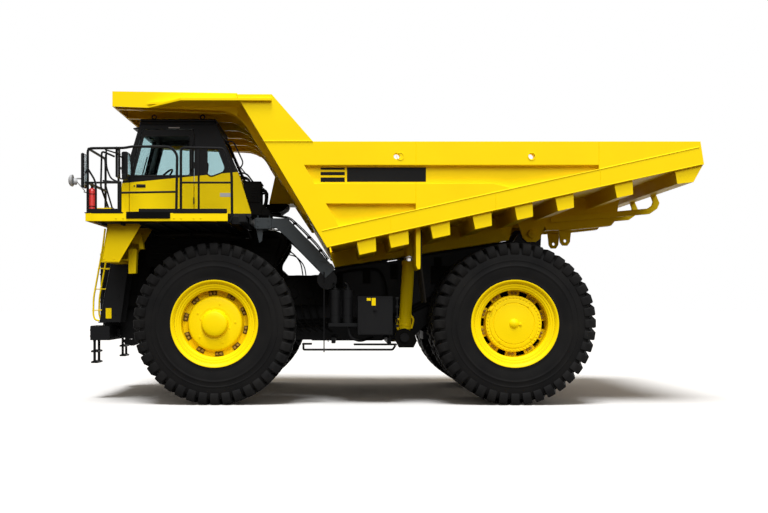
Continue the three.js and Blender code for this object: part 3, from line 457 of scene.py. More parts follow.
    def piece(self, name, body, material, replaces=(), smooth=40.0, slot=None, flat=True):
        """Turns the form into an object that rides on a body."""
        mesh = bpy.data.meshes.new(name)
        self.bm.to_mesh(mesh)
        self.bm.free()
        mesh.shade_smooth()
        mesh.set_sharp_from_angle(angle=math.radians(smooth))
        if flat:
            settle_normals(mesh, math.cos(math.radians(smooth)))
        mesh.materials.append(material)
        made = bpy.data.objects.new(name, mesh)
        bpy.context.scene.collection.objects.link(made)
        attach(made, body)
        if replaces:
            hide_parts(*replaces)
        return made


def settle_normals(mesh, cosine):
    """Keeps large faces looking flat: each corner's normal follows the largest faces that meet there."""
    meeting = [[] for _ in mesh.vertices]
    for face in mesh.polygons:
        for vert in face.vertices:
            meeting[vert].append(face.index)
    ways = [face.normal.copy() for face in mesh.polygons]
    areas = [face.area for face in mesh.polygons]
    corners = []
    for face in mesh.polygons:
        way = ways[face.index]
        for vert in face.vertices:
            total = Vector()
            for other in meeting[vert]:
                if ways[other].dot(way) > cosine:
                    total += ways[other] * areas[other]
            corners.append(total.normalized() if total.length > 0 else way)
    mesh.normals_split_custom_set(corners)


def rounded(points, bend, closed=False):
    """The points with each corner replaced by a short curve."""
    if bend <= 0:
        return points
    path = []
    for i, at in enumerate(points):
        if not closed and i in (0, len(points) - 1):
            path.append(at)
            continue
        before, after = points[i - 1], points[(i + 1) % len(points)]
        reach = min(bend, (before - at).length * 0.45, (after - at).length * 0.45)
        a = at + (before - at).normalized() * reach
        b = at + (after - at).normalized() * reach
        path += [a.lerp(at, t).lerp(at.lerp(b, t), t) for t in (0.0, 0.25, 0.5, 0.75, 1.0)]
    return path


def both_sides(build, name, body, material, replaces=(), **settings):
    """Makes a piece for the left side, and its mirror image for the right."""
    for side in SIDES:
        form = build() if side == "left" else build().mirrored()
        form.piece(f"{name}_{side}", body.format(side=side), material,
                   [n.format(side=side) for n in replaces], **settings)


def from_node(node):
    """A form with a CAD node's shape, its flat faces whole again."""
    form = Form()
    form.bm.from_mesh(frame["nodes"][node].data)
    bmesh.ops.remove_doubles(form.bm, verts=form.bm.verts, dist=2e-5)
    bmesh.ops.dissolve_limit(form.bm, angle_limit=math.radians(0.6), verts=form.bm.verts,
                             edges=form.bm.edges)
    return form


def eased(node, material, bevel=0.006, segments=2, limit=25.0, smooth=40.0, name=None):
    """A CAD node's shape with rounded edges, standing in for the node."""
    form = from_node(node)
    sharp = [e for e in form.bm.edges
             if len(e.link_faces) == 2 and e.calc_face_angle() > math.radians(limit)]
    bmesh.ops.bevel(form.bm, geom=sharp, offset=bevel, segments=segments, profile=0.5,
                    affect="EDGES", clamp_overlap=True)
    body = next(b for b, nodes in frame["record"]["behaviour"]["bodies"].items() if node in nodes)
    return form.piece(name or f"{node}_shell", body, material, [node], smooth=smooth)


def refinish(node, material):
    """Gives a CAD node whose shape is right its real finish."""
    slots = frame["nodes"][node].data.materials
    if len(slots):
        for i in range(len(slots)):
            slots[i] = material
    else:
        slots.append(material)


# ---------------------------------------------------------------- tyres
LUGS = 40
LUG_SECTION = [(0.300, 1.130), (0.368, 1.150), (0.374, 1.235), (0.364, 1.312), (0.338, 1.3385),
               (0.020, 1.3385), (0.020, 1.235), (0.200, 1.200)]
CARCASS = [
    (0.640, 0.300), (0.668, 0.335), (0.700, 0.352), (0.735, 0.356), (0.760, 0.350), (0.800, 0.356),
    (0.860, 0.366), (0.915, 0.3705), (0.940, 0.3705), (0.946, 0.3745), (0.956, 0.3745), (0.962, 0.3700),
    (1.010, 0.3680), (1.030, 0.3670), (1.036, 0.3715), (1.050, 0.3715), (1.056, 0.3650), (1.090, 0.3620),
    (1.135, 0.356), (1.190, 0.342), (1.240, 0.312), (1.266, 0.240), (1.276, 0.120), (1.278, 0.0),
]


def make_tyre():
    """A rock tyre about the origin: a carcass with sidewall rings, and two rows of deep lugs."""
    tyre = Form()
    outline = CARCASS + [(r, -t) for r, t in CARCASS[-2::-1]] + [(0.630, -0.290), (0.630, 0.290)]
    tyre.lathe(outline, (0, 0, 0), 120)
    pitch = 2 * math.pi / LUGS
    for side in SIDES.values():
        lug = Form()
        for t, r in LUG_SECTION:
            lean = (1 - t / 0.37) * pitch * 0.42
            half = pitch * (0.395 - 0.065 * (r - 1.13) / 0.21)
            for a in (lean - half, lean + half):
                lug.bm.verts.new((math.sin(a) * r, t * side, math.cos(a) * r))
        verts = list(lug.bm.verts)
        low, high = verts[0::2], verts[1::2]
        lug.bm.faces.new(low)
        lug.bm.faces.new(high[::-1])
        for i in range(len(low)):
            j = (i + 1) % len(low)
            lug.bm.faces.new((low[j], low[i], high[i], high[j]))
        block = Form()
        block._take(lug.bm, 0.011, 1)
        for k in range(LUGS):
            turn = pitch * (k + (0.0 if side > 0 else 0.5))
            tyre.add(block, Matrix.Rotation(turn, 4, "Y"))
    return tyre


def place_tyre(tyre, node, body):
    low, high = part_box(node)
    form = Form().add(tyre, Matrix.Translation((low + high) / 2))
    form.piece(node.replace("tyre", "rock_tyre"), body, RUBBER, [node], smooth=35.0, slot="tyre",
               flat=False)


tyre = make_tyre()
for side in SIDES:
    place_tyre(tyre, f"front_tyre_{side}", f"front_wheel_{side}")
    place_tyre(tyre, f"rear_outer_tyre_{side}", f"rear_wheel_{side}")
    place_tyre(tyre, f"rear_inner_tyre_{side}", f"rear_wheel_{side}")

# ---------------------------------------------------------------- rims and hubs
RIM_FACE = [(0.552, 0.215), (0.556, 0.281), (0.563, 0.289), (0.583, 0.293), (0.590, 0.304),
            (0.620, 0.308), (0.628, 0.318), (0.658, 0.322), (0.664, 0.331), (0.676, 0.343),
            (0.690, 0.356), (0.704, 0.364), (0.720, 0.364), (0.726, 0.352), (0.700, 0.318),
            (0.655, 0.300), (0.640, 0.262)]


def arc_outline(inner, outer, start, end, steps=8):
    """The outline of a piece of a ring, in the plane of the wheel."""
    turns = [start + (end - start) * k / steps for k in range(steps + 1)]
    return ([(math.cos(a) * outer, math.sin(a) * outer) for a in turns]
            + [(math.cos(a) * inner, math.sin(a) * inner) for a in reversed(turns)])


def ring_places(centre, radius, y, count, start=0.0):
    for k in range(count):
        a = start + 2 * math.pi * k / count
        yield a, Vector((centre.x + math.cos(a) * radius, centre.y + y, centre.z + math.sin(a) * radius))


def front_rim():
    rim = Form()
    back = [(0.640, -0.270), (0.660, -0.300), (0.706, -0.318), (0.712, -0.335), (0.690, -0.340),
            (0.600, -0.335), (0.552, -0.300)]
    rim.lathe(RIM_FACE + back, FRONT_AXLE, 96)
    hub = [(0.560, 0.060), (0.560, 0.085), (0.475, 0.088), (0.462, 0.100), (0.452, 0.195),
           (0.440, 0.218), (0.420, 0.230), (0.345, 0.238), (0.268, 0.241), (0.262, 0.236),
           (0.232, 0.236), (0.226, 0.245), (0.220, 0.250), (0.214, 0.290), (0.206, 0.312),
           (0.186, 0.326), (0.120, 0.334), (0.0, 0.338), (0.0, 0.020), (0.30, 0.020)]
    rim.lathe(hub, FRONT_AXLE, 72)
    for _, at in ring_places(FRONT_AXLE, 0.335, 0.238, 5, 0.55):
        rim.disc(at, at + Vector((0, 0.010, 0)), 0.017, 12)
    for _, at in ring_places(FRONT_AXLE, 0.248, 0.235, 6, 0.3):
        rim.bolt(at, (0, 1, 0), 0.012)
    return rim


def front_wheel_nuts():
    nuts = Form()
    for a, _ in ring_places(FRONT_AXLE, 0.508, 0.085, 10, 0.21):
        for offset in (-0.062, 0.062):
            b = a + offset
            at = FRONT_AXLE + Vector((math.cos(b) * 0.508, 0.098, math.sin(b) * 0.508))
            nuts.nut(at, (0, 1, 0), 0.025)
    return nuts


def front_wheel_clamps():
    clamps = Form()
    for a, _ in ring_places(FRONT_AXLE, 0.508, 0.085, 10, 0.21):
        outline = [(FRONT_AXLE.x + x, FRONT_AXLE.z + z)
                   for x, z in arc_outline(0.472, 0.548, a - 0.135, a + 0.135)]
        clamps.prism(outline, FRONT_AXLE.y + 0.080, FRONT_AXLE.y + 0.100, "y", 0.006)
    return clamps


def rear_rim():
    rim = Form()
    back = [(0.640, -0.255), (0.660, -0.300), (0.714, -0.318), (0.714, -0.335), (0.66, -0.345),
            (0.640, -0.42), (0.66, -0.505), (0.714, -0.520), (0.714, -0.538), (0.66, -0.545),
            (0.640, -0.60), (0.640, -1.12), (0.66, -1.165), (0.714, -1.180), (0.700, -1.198),
            (0.600, -1.195), (0.548, -1.150)]
    rim.lathe(RIM_FACE + back, REAR_AXLE, 96)
    cover = [(0.470, -0.05), (0.470, 0.150), (0.466, 0.200), (0.460, 0.208), (0.405, 0.212),
             (0.398, 0.222), (0.352, 0.226), (0.346, 0.218), (0.338, 0.218), (0.332, 0.228),
             (0.160, 0.238), (0.080, 0.240), (0.074, 0.252), (0.050, 0.268), (0.0, 0.274),
             (0.0, -0.05)]
    rim.lathe(cover, REAR_AXLE, 72)
    for a, _ in ring_places(REAR_AXLE, 0.5, 0.0, 10, 0.05):
        outline = [(REAR_AXLE.x + x, REAR_AXLE.z + z)
                   for x, z in arc_outline(0.468, 0.556, a + 0.13, a + 2 * math.pi / 10 - 0.13)]
        rim.prism(outline, REAR_AXLE.y + 0.020, REAR_AXLE.y + 0.055, "y", 0.008)
    for _, at in ring_places(REAR_AXLE, 0.434, 0.210, 48):
        rim.bolt(at, (0, 1, 0), 0.0125)
    for _, at in ring_places(REAR_AXLE, 0.372, 0.224, 4, 0.7):
        rim.bolt(at, (0, 1, 0), 0.013)
    plug = REAR_AXLE + Vector((-0.105, 0.236, -0.010))
    rim.disc(plug, plug + Vector((0, 0.012, 0)), 0.030, 20)
    rim.bolt(plug + Vector((0, 0.010, 0)), (0, 1, 0), 0.016)
    bracket = Form().box((-0.045, 0.19, 0.425), (0.045, 0.235, 0.485), 0.006)
    bracket.box((-0.030, 0.22, 0.43), (0.030, 0.262, 0.47), 0.008)
    turn = Matrix.Translation(REAR_AXLE) @ Matrix.Rotation(math.radians(58), 4, "Y")
    return rim.add(bracket, turn)


def rear_wheel_nuts():
    nuts = Form()
    for a, _ in ring_places(REAR_AXLE, 0.5, 0.0, 10, 0.05):
        middle = a + math.pi / 10
        for offset in (-0.06, 0.06):
            b = middle + offset
            at = REAR_AXLE + Vector((math.cos(b) * 0.508, 0.053, math.sin(b) * 0.508))
            nuts.nut(at, (0, 1, 0), 0.024)
    return nuts


def rear_wheel_painted_shade():
    """Painted shade: a matt black ring where the wheel's hub closes the rim, dark for the shade seen through the
    gaps between the clamps.
    """
    inside = Form()
    return inside.lathe([(0.40, -0.20), (0.556, -0.20), (0.556, -0.12), (0.40, -0.14)], REAR_AXLE, 60)


both_sides(front_rim, "front_wheel", "front_wheel_{side}", YELLOW, ["front_rim_{side}"],
           slot="yellow_paint")
both_sides(front_wheel_nuts, "front_wheel_nuts", "front_wheel_{side}", NUT_STEEL)
both_sides(front_wheel_clamps, "front_wheel_clamps", "front_wheel_{side}", CLAMP_BROWN)
both_sides(rear_rim, "rear_wheel", "rear_wheel_{side}", YELLOW, ["rear_rim_{side}"],
           slot="yellow_paint")
both_sides(rear_wheel_nuts, "rear_wheel_nuts", "rear_wheel_{side}", NUT_STEEL)
# matt black ring inside each rear wheel: painted shade behind the clamps
both_sides(rear_wheel_painted_shade, "rear_wheel_inside", "rear_wheel_{side}", MATT_BLACK)


# ---------------------------------------------------------------- CAD shapes with real edges
for node in ("body_side_left", "body_side_right"):
    eased(node, YELLOW, 0.007)
eased("body_floor", YELLOW, 0.008)
eased("body_front", YELLOW, 0.006)
eased("canopy", YELLOW, 0.006)
DECK_PAINT = two_tone("deck_paint", YELLOW_COLOUR, BLACK_COLOUR, (-1, 0, 0), -behind(0.250))
eased("deck", DECK_PAINT, 0.006)
eased("deck_brace", SLATE, 0.008)
for node in ("main_frame", "front_bumper", "fuel_tank", "hydraulic_tank", "rear_axle_housing",
             "transmission", "radiator"):
    eased(node, BLACK, 0.008)
for node in ("engine_block", "tie_rod", "knuckle_left", "knuckle_right", "wishbone_left",
             "wishbone_right", "front_strut_left", "front_strut_right"):
    eased(node, MATT_BLACK, 0.006)
eased("air_cleaner", BLACK, 0.010)
eased("deck_cabinet", YELLOW, 0.012)
for side in SIDES:
    eased(f"hoist_barrel_{side}", YELLOW, 0.006)
    refinish(f"hoist_stage_{side}", CHROME)
    refinish(f"hoist_rod_{side}", CHROME)


# ---------------------------------------------------------------- cab
CAB_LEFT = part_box("cab_left_wall")[1].y
CAB_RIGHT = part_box("cab_right_wall")[0].y
ROOF_CAP = 0.034
ROOF_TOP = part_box("cab_roof")[1].z + ROOF_CAP
FLOOR_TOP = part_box("cab_floor")[1].z
DOOR_GLASS = [(-1.440, 3.846), (-1.265, 4.522), (-0.478, 4.522), (-0.478, 3.846)]
QUARTER_GLASS = [(-0.190, 3.870), (-0.190, 4.302), (0.0, 4.302), (0.118, 3.980), (0.084, 3.905),
                 (-0.120, 3.832)]
RIGHT_GLASS = [(-1.440, 3.846), (-1.240, 4.630), (-0.250, 4.630), (0.060, 3.846)]

# Yellow below a line that rises gently to the rear, black above it.
CAB_PAINT = two_tone("cab_paint", YELLOW_COLOUR, BLACK_COLOUR, (0.098, 0, 1), 4.155)
for node in ("cab_left_wall", "cab_right_wall", "cab_front_wall", "cab_rear_wall", "cab_door"):
    eased(node, CAB_PAINT, 0.006)
eased("cab_roof", BLACK, 0.024, segments=3)
refinish("cab_floor", DASH)
for node in ("windscreen", "rear_window", "quarter_window", "right_window", "door_window"):
    refinish(node, GLASS)


def ring_on_side(form, outline, y, radius, bend=0.03):
    """A round bead that follows an outline on a side of the cab."""
    form.tube([(behind(d), y, z) for d, z in outline], radius, 8, bend, closed=True)
    return form


def cab_seals():
    seals = Form()
    ring_on_side(seals, QUARTER_GLASS, CAB_LEFT + 0.002, 0.011)
    ring_on_side(seals, RIGHT_GLASS, CAB_RIGHT - 0.002, 0.011)
    low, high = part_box("windscreen")
    for y in (low.y - 0.01, high.y + 0.01):
        seals.tube([(high.x + 0.012, y, low.z), (low.x + 0.012, y, high.z)], 0.011, 8)
    for x, z in ((high.x + 0.012, low.z), (low.x + 0.012, high.z)):
        seals.tube([(x, low.y - 0.01, z), (x, high.y + 0.01, z)], 0.011, 8)
    return seals


def door_trim():
    trim = Form()
    ring_on_side(trim, DOOR_GLASS, CAB_LEFT + 0.002, 0.012, 0.05)
    trim.box((behind(-1.235), CAB_LEFT - 0.004, 3.642), (behind(-1.394), CAB_LEFT + 0.006, 3.700), 0.006)
    trim.box((behind(-1.250), CAB_LEFT + 0.004, 3.664), (behind(-1.380), CAB_LEFT + 0.026, 3.684), 0.006)
    trim.disc((behind(-1.425), CAB_LEFT - 0.004, 3.672), (behind(-1.425), CAB_LEFT + 0.007, 3.672),
              0.014, 14)
    for z in (3.42, 4.02, 4.50):
        trim.disc((behind(-0.412), CAB_LEFT + 0.018, z - 0.055),
                  (behind(-0.412), CAB_LEFT + 0.018, z + 0.055),
                  0.011, 12)
    trim.tube([(behind(-0.447), CAB_LEFT, 3.93), (behind(-0.447), CAB_LEFT + 0.055, 3.95),
               (behind(-0.447), CAB_LEFT + 0.055, 4.36), (behind(-0.447), CAB_LEFT, 4.38)], 0.011, 8, 0.03)
    trim.box((behind(-0.52), CAB_LEFT - 0.066, 3.36), (behind(-1.45), CAB_LEFT - 0.058, 3.78), 0.01)
    return trim


def cab_fittings():
    """Lifting eyes, wiper, sun visor, horn and hand holds on the cab."""
    fit = Form()
    for d in (-1.106, -0.280):
        for y in (CAB_LEFT - 0.10, CAB_RIGHT + 0.10):
            at = Vector((behind(d), y, ROOF_TOP + 0.045))
            loop = [at + Vector((math.cos(a) * 0.036, 0, math.sin(a) * 0.036))
                    for a in (2 * math.pi * k / 16 for k in range(16))]
            fit.tube(loop, 0.010, 8, 0.0, closed=True)
            fit.box(at - Vector((0.05, 0.02, 0.05)), at + Vector((0.05, 0.02, -0.036)), 0.004)
    fit.tube([(behind(0.10), CAB_LEFT - 0.06, 4.36), (behind(0.12), CAB_LEFT - 0.04, 4.43),
              (behind(0.25), CAB_LEFT - 0.04, 4.44), (behind(0.43), CAB_LEFT - 0.04, 4.06),
              (behind(0.33), CAB_LEFT - 0.06, 3.94)], 0.012, 8, 0.07)
    for y in (0.55, 1.42):
        top = Vector((behind(-1.40) + 0.03, y, 4.66))
        pivot = Vector((behind(-1.62) + 0.02, y - 0.16, 3.76))
        fit.tube([pivot, pivot + Vector((0.03, 0, 0.02)), top + Vector((0.045, 0, -0.30))], 0.010, 8, 0.02)
        fit.box((behind(-1.62) - 0.02, y - 0.21, 3.72), (behind(-1.62) + 0.045, y - 0.11, 3.79), 0.01)
    fit.side([(-1.345, 4.700), (-1.47, 4.672), (-1.465, 4.655), (-1.330, 4.668)], CAB_RIGHT + 0.10,
             CAB_LEFT - 0.10, 0.006)
    for d in (-1.42, -0.447):
        fit.tube([(behind(d), CAB_RIGHT, 3.95), (behind(d), CAB_RIGHT - 0.06, 3.97),
                  (behind(d), CAB_RIGHT - 0.06, 4.34), (behind(d), CAB_RIGHT, 4.36)], 0.011, 8, 0.03)
    low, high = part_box("rear_window")
    fit.tube([(low.x - 0.035, low.y + 0.05, low.z + 0.14), (low.x - 0.03, high.y - 0.05, low.z + 0.14)],
             0.011, 8)
    return fit


def roof_cap():
    """The shallow rounded cap on the roof panel and the dark lining of its right front pillar."""
    cap = Form()
    low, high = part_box("cab_roof")
    cap.box((low.x + 0.006, low.y + 0.006, high.z - 0.004), (high.x - 0.006, high.y - 0.006, ROOF_TOP),
            0.014)
    cap.side([(-1.560, 3.84), (-1.370, 4.62), (-1.290, 4.62), (-1.480, 3.84)], CAB_RIGHT + 0.06,
             CAB_RIGHT + 0.50, 0.008)
    return cap


def cab_labels():
    """Blank plates where the real cab carries its stickers."""
    plates = Form()
    plates.box((behind(0.242), CAB_LEFT, 3.486), (behind(0.030), CAB_LEFT + 0.003, 3.552), 0.001)
    plates.box((behind(-0.655), CAB_LEFT + 0.0, 4.652), (behind(-0.845), CAB_LEFT + 0.003, 4.672), 0.001)
    return plates


cab_seals().piece("cab_window_seals", "root", RUBBER_SEAL)
door_trim().piece("cab_door_fittings", "cab_door", RUBBER_SEAL)
cab_fittings().piece("cab_fittings", "root", BLACK)
roof_cap().piece("cab_roof_cap", "root", BLACK)
cab_labels().piece("cab_blank_labels", "root", SHEET)


# ---------------------------------------------------------------- inside the cab
SEAT_LOW, SEAT_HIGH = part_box("seat")
SEAT_Y = (SEAT_LOW.y + SEAT_HIGH.y) / 2
SEAT_X = behind(-0.68)


def cushion(name, low, high, matrix, channels):
    """A crowned cushion: swollen faces, corners that pull in, and sewn channels across it."""
    bm = bmesh.new()
    bmesh.ops.create_cube(bm, size=2.0)
    bmesh.ops.subdivide_edges(bm, edges=bm.edges, cuts=11, use_grid_fill=True)
    size = (Vector(high) - Vector(low)) / 2
    for vert in bm.verts:
        x, y, z = vert.co
        round_off = 1.0 - 0.10 * (x * x * y * y + y * y * z * z + x * x * z * z)
        crown = 1.0 + 0.16 * (1 - x ** 4) * (1 - y ** 4)
        pull = 1.0 - 0.045 * (1 - z * z) * (x * x + y * y) * 0.5
        seam = sum(math.exp(-((y - c) / 0.07) ** 2) for c in channels) * 0.10 if abs(z) > 0.9 else 0.0
        vert.co = Vector((x * size.x * round_off * pull, y * size.y * round_off * pull,
                          z * size.z * round_off * (crown - seam)))
    bmesh.ops.transform(bm, matrix=Matrix.Translation((Vector(low) + Vector(high)) / 2) @ matrix,
                        verts=bm.verts)
    form = Form.__new__(Form)
    form.bm = bm
    made = form.piece(name, "root", CLOTH, smooth=80.0, slot="seat_cloth")
    smoother = made.modifiers.new("smooth", "SUBSURF")
    smoother.levels = smoother.render_levels = 1
    return made


def seat_frame():
    seat = Form()
    seat.box((SEAT_X - 0.20, SEAT_Y - 0.18, FLOOR_TOP + 0.001), (SEAT_X + 0.20, SEAT_Y + 0.18, 3.30), 0.02)
    for k in range(4):
        z = 3.305 + 0.03 * k
        inset = 0.012 * (k % 2)
        seat.box((SEAT_X - 0.19 + inset, SEAT_Y - 0.17 + inset, z),
                 (SEAT_X + 0.19 - inset, SEAT_Y + 0.17 - inset, z + 0.028), 0.01)
    seat.box((SEAT_X - 0.26, SEAT_Y - 0.24, 3.425), (SEAT_X + 0.26, SEAT_Y + 0.24, 3.455), 0.012)
    seat.tube([(SEAT_X - 0.19, SEAT_Y - 0.10, 3.45), (SEAT_X - 0.36, SEAT_Y - 0.10, 4.15)], 0.016, 8)
    seat.tube([(SEAT_X - 0.19, SEAT_Y + 0.10, 3.45), (SEAT_X - 0.36, SEAT_Y + 0.10, 4.15)], 0.016, 8)
    for side in (-1, 1):
        seat.box((SEAT_X - 0.20, SEAT_Y + side * 0.29 - 0.035, 3.70),
                 (SEAT_X + 0.16, SEAT_Y + side * 0.29 + 0.035, 3.755), 0.02)
        seat.tube([(SEAT_X - 0.24, SEAT_Y + side * 0.24, 3.66),
                   (SEAT_X - 0.17, SEAT_Y + side * 0.29, 3.715)], 0.018, 8)
    return seat


def cab_controls():
    """Dashboard, steering wheel and the console beside the seat."""
    dash = Form()
    dash.side([(-1.600, FLOOR_TOP + 0.001), (-1.565, 3.700), (-1.500, 3.850), (-1.400, 3.830),
               (-1.340, 3.740),
               (-1.370, 3.560), (-1.440, FLOOR_TOP + 0.001)], CAB_RIGHT + 0.08, CAB_LEFT - 0.08, 0.02)
    dash.side([(-1.43, 3.80), (-1.46, 3.925), (-1.415, 3.93), (-1.33, 3.80)], SEAT_Y - 0.30,
              SEAT_Y + 0.30, 0.015)
    hub = Vector((behind(-1.075), SEAT_Y, 3.90))
    dash.tube([(behind(-1.40), SEAT_Y, 3.58), hub], 0.034, 12)
    tilt = Matrix.Translation(hub) @ Matrix.Rotation(-0.75, 4, "Y")
    wheel = Form()
    loop = [Vector((0, math.cos(a) * 0.215, math.sin(a) * 0.215))
            for a in (2 * math.pi * k / 32 for k in range(32))]
    wheel.tube(loop, 0.017, 10, 0.0, closed=True)
    for a in (0.3, math.pi - 0.3, -math.pi / 2):
        wheel.tube([(0, 0, 0), (0, math.cos(a) * 0.21, math.sin(a) * 0.21)], 0.014, 8)
    wheel.disc((-0.03, 0, 0), (0.025, 0, 0), 0.055, 20, 0.01)
    dash.add(wheel, tilt)
    dash.box((SEAT_X - 0.25, SEAT_Y - 0.50, FLOOR_TOP + 0.001), (SEAT_X + 0.35, SEAT_Y - 0.36, 3.66), 0.02)
    dash.tube([(SEAT_X + 0.20, SEAT_Y - 0.43, 3.65), (SEAT_X + 0.23, SEAT_Y - 0.43, 3.86)], 0.012, 8)
    dash.disc((SEAT_X + 0.226, SEAT_Y - 0.43, 3.84), (SEAT_X + 0.236, SEAT_Y - 0.43, 3.90), 0.026, 14, 0.01)
    dash.box((behind(-0.75), CAB_RIGHT + 0.10, FLOOR_TOP + 0.001),
             (behind(-0.2), CAB_RIGHT + 0.38, 3.52), 0.03)
    return dash


cushion("seat_cushion", (SEAT_X - 0.26, SEAT_Y - 0.26, 3.455), (SEAT_X + 0.28, SEAT_Y + 0.26, 3.57),
        Matrix.Identity(4), (-0.55, 0.55))
back_tilt = Matrix.Rotation(math.radians(76), 4, "Y")
cushion("seat_back", (SEAT_X - 0.62, SEAT_Y - 0.25, 3.83), (SEAT_X + 0.06, SEAT_Y + 0.25, 3.94), back_tilt,
        (-0.5, 0.5))
seat_frame().piece("seat_frame", "root", DASH, ["seat"], slot="dash_plastic")
cab_controls().piece("cab_controls", "root", DASH, ["dashboard"], slot="dash_plastic")


# ---------------------------------------------------------------- deck, hand rails and mirrors
RAIL_TOP = 4.198
RAIL_MID = 3.640
RAIL_RADIUS = 0.0215
RAIL_Y = DECK_HIGH.y - 0.040
RAIL_FRONT = -2.030
RIGHT_RAIL_END = -0.200


def rail(form, points, radius=RAIL_RADIUS, bend=0.09):
    """A bent hand rail through (distance behind the front axle, y, z) points."""
    form.tube([(behind(d), y, z) for d, y, z in points], radius, 12, bend)
    return form


def post_foot(form, d, y):
    form.box((behind(d) - 0.045, y - 0.045, DECK_TOP + 0.001),
             (behind(d) + 0.045, y + 0.045, DECK_TOP + 0.014), 0.003)
    form.bolt((behind(d) - 0.03, y + 0.028, DECK_TOP + 0.014), (0, 0, 1), 0.009)
    form.bolt((behind(d) + 0.03, y - 0.028, DECK_TOP + 0.014), (0, 0, 1), 0.009)


def left_rails():
    rails, y, low = Form(), RAIL_Y, DECK_TOP + 0.002
    rail(rails, [(RAIL_FRONT, y, low), (RAIL_FRONT, y, RAIL_TOP), (-1.43, y, RAIL_TOP + 0.006),
                 (-1.31, y, RAIL_TOP + 0.030), (-0.68, y, RAIL_TOP + 0.024), (-0.575, y, RAIL_TOP - 0.10),
                 (-0.590, y, low)], bend=0.07)
    rail(rails, [(RAIL_FRONT, 1.45, low), (RAIL_FRONT, 1.45, RAIL_TOP), (RAIL_FRONT, y - 0.06, RAIL_TOP)])
    rail(rails, [(RAIL_FRONT, 1.45, RAIL_MID), (RAIL_FRONT, y, RAIL_MID)])
    rail(rails, [(RAIL_FRONT, y, RAIL_MID), (-1.50, y, RAIL_MID)], 0.017)
    rail(rails, [(-1.50, y, 3.475), (-0.59, y, 3.490)], 0.017)
    rail(rails, [(-1.50, y, low), (-1.50, y, RAIL_MID + 0.02)])
    rail(rails, [(-1.50, y, RAIL_MID), (-1.66, y - 0.03, 3.70), (-1.74, y - 0.05, 3.90),
                 (-1.74, y - 0.05, 4.19)], 0.014)
    rail(rails, [(-1.50, y - 0.02, 4.10), (-1.76, y - 0.05, 4.185)], 0.012, 0.03)
    rail(rails, [(RAIL_FRONT, y, 3.87), (-1.925, y, 3.70), (-1.895, y, 3.60), (-1.895, y, low)], 0.016)
    rail(rails, [(-0.515, y, low), (-0.515, y, RAIL_TOP + 0.012), (0.19, y, RAIL_TOP), (0.31, y, 3.80),
                 (0.318, y, 3.05),
                 (0.240, y - 0.01, 2.985)], bend=0.07)
    rail(rails, [(-0.515, y, RAIL_MID), (0.315, y, RAIL_MID)], 0.017)
    rail(rails, [(-0.225, y, low), (-0.225, y, RAIL_TOP)], 0.017)
    for d in (RAIL_FRONT, -1.50, -0.59, -0.515, -0.225, -1.895):
        post_foot(rails, d, y)
    post_foot(rails, RAIL_FRONT, 1.45)
    rails.box((behind(0.235), y - 0.012, DECK_TOP + 0.001),
              (behind(-1.20), y + 0.012, DECK_TOP + 0.075), 0.003)
    rails.box((behind(-1.50), y - 0.012, DECK_TOP + 0.001),
              (behind(RAIL_FRONT), y + 0.012, DECK_TOP + 0.075), 0.003)
    return rails


def right_rails():
    rails, y, low = Form(), -RAIL_Y, DECK_TOP + 0.002
    rail(rails, [(RIGHT_RAIL_END, y, low), (RIGHT_RAIL_END, y, RAIL_TOP), (RAIL_FRONT, y, RAIL_TOP),
                 (RAIL_FRONT, -1.45, RAIL_TOP), (RAIL_FRONT, -1.45, low)])
    rail(rails, [(RIGHT_RAIL_END, y, RAIL_MID), (RAIL_FRONT, y, RAIL_MID),
                 (RAIL_FRONT, -1.45, RAIL_MID)], 0.017)
    for d in (RAIL_FRONT, -1.15):
        rail(rails, [(d, y, low), (d, y, RAIL_TOP)])
        post_foot(rails, d, y)
    rail(rails, [(RAIL_FRONT, -2.08, low), (RAIL_FRONT, -2.08, RAIL_TOP)])
    rail(rails, [(RAIL_FRONT, -0.40, low), (RAIL_FRONT, -0.40, RAIL_TOP), (RAIL_FRONT, 0.40, RAIL_TOP),
                 (RAIL_FRONT, 0.40, low)])
    rail(rails, [(RAIL_FRONT, -0.40, RAIL_MID), (RAIL_FRONT, 0.40, RAIL_MID)], 0.017)
    for foot_y in (-2.08, -1.45, -0.40, 0.40):
        post_foot(rails, RAIL_FRONT, foot_y)
    rails.box((behind(RIGHT_RAIL_END), y - 0.012, DECK_TOP + 0.001),
              (behind(RAIL_FRONT), y + 0.012, DECK_TOP + 0.075), 0.003)
    rails.box((behind(RAIL_FRONT) - 0.012, y, DECK_TOP + 0.001),
              (behind(RAIL_FRONT) + 0.012, 0.90, DECK_TOP + 0.040), 0.003)
    return rails


def mirror_shells(side):
    """Outer door-height mirror ahead of the rail, with its arms."""
    shells = Form()
    y = side * RAIL_Y
    low, high = (2.750, 2.955) if side > 0 else (-2.955, -2.750)
    shells.box((behind(-2.087), low, 3.535), (behind(-2.033), high, 4.095), 0.022)
    for z in (3.66, 3.97):
        shells.tube([(behind(RAIL_FRONT), y, z), (behind(-2.055), y + side * 0.10, z)], 0.014, 8)
    return shells


def cab_mirrors():
    """Two smaller mirrors on the bracket between the rail and the cab."""
    shells = Form()
    shells.box((behind(-1.597), 2.45, 3.735), (behind(-1.558), 2.66, 4.240), 0.018)
    shells.box((behind(-1.546), 2.22, 3.80), (behind(-1.440), 2.44, 4.190), 0.025)
    shells.tube([(behind(-1.52), RAIL_Y, 4.08), (behind(-1.52), 2.30, 4.08),
                 (behind(-1.44), 2.30, 4.06)], 0.013, 8, 0.03)
    shells.tube([(behind(-1.52), RAIL_Y, 3.72), (behind(-1.52), 2.55, 3.72)], 0.013, 8)
    shells.box((behind(-1.505), 2.50, 3.70), (behind(-1.425), 2.60, 3.80), 0.015)
    return shells


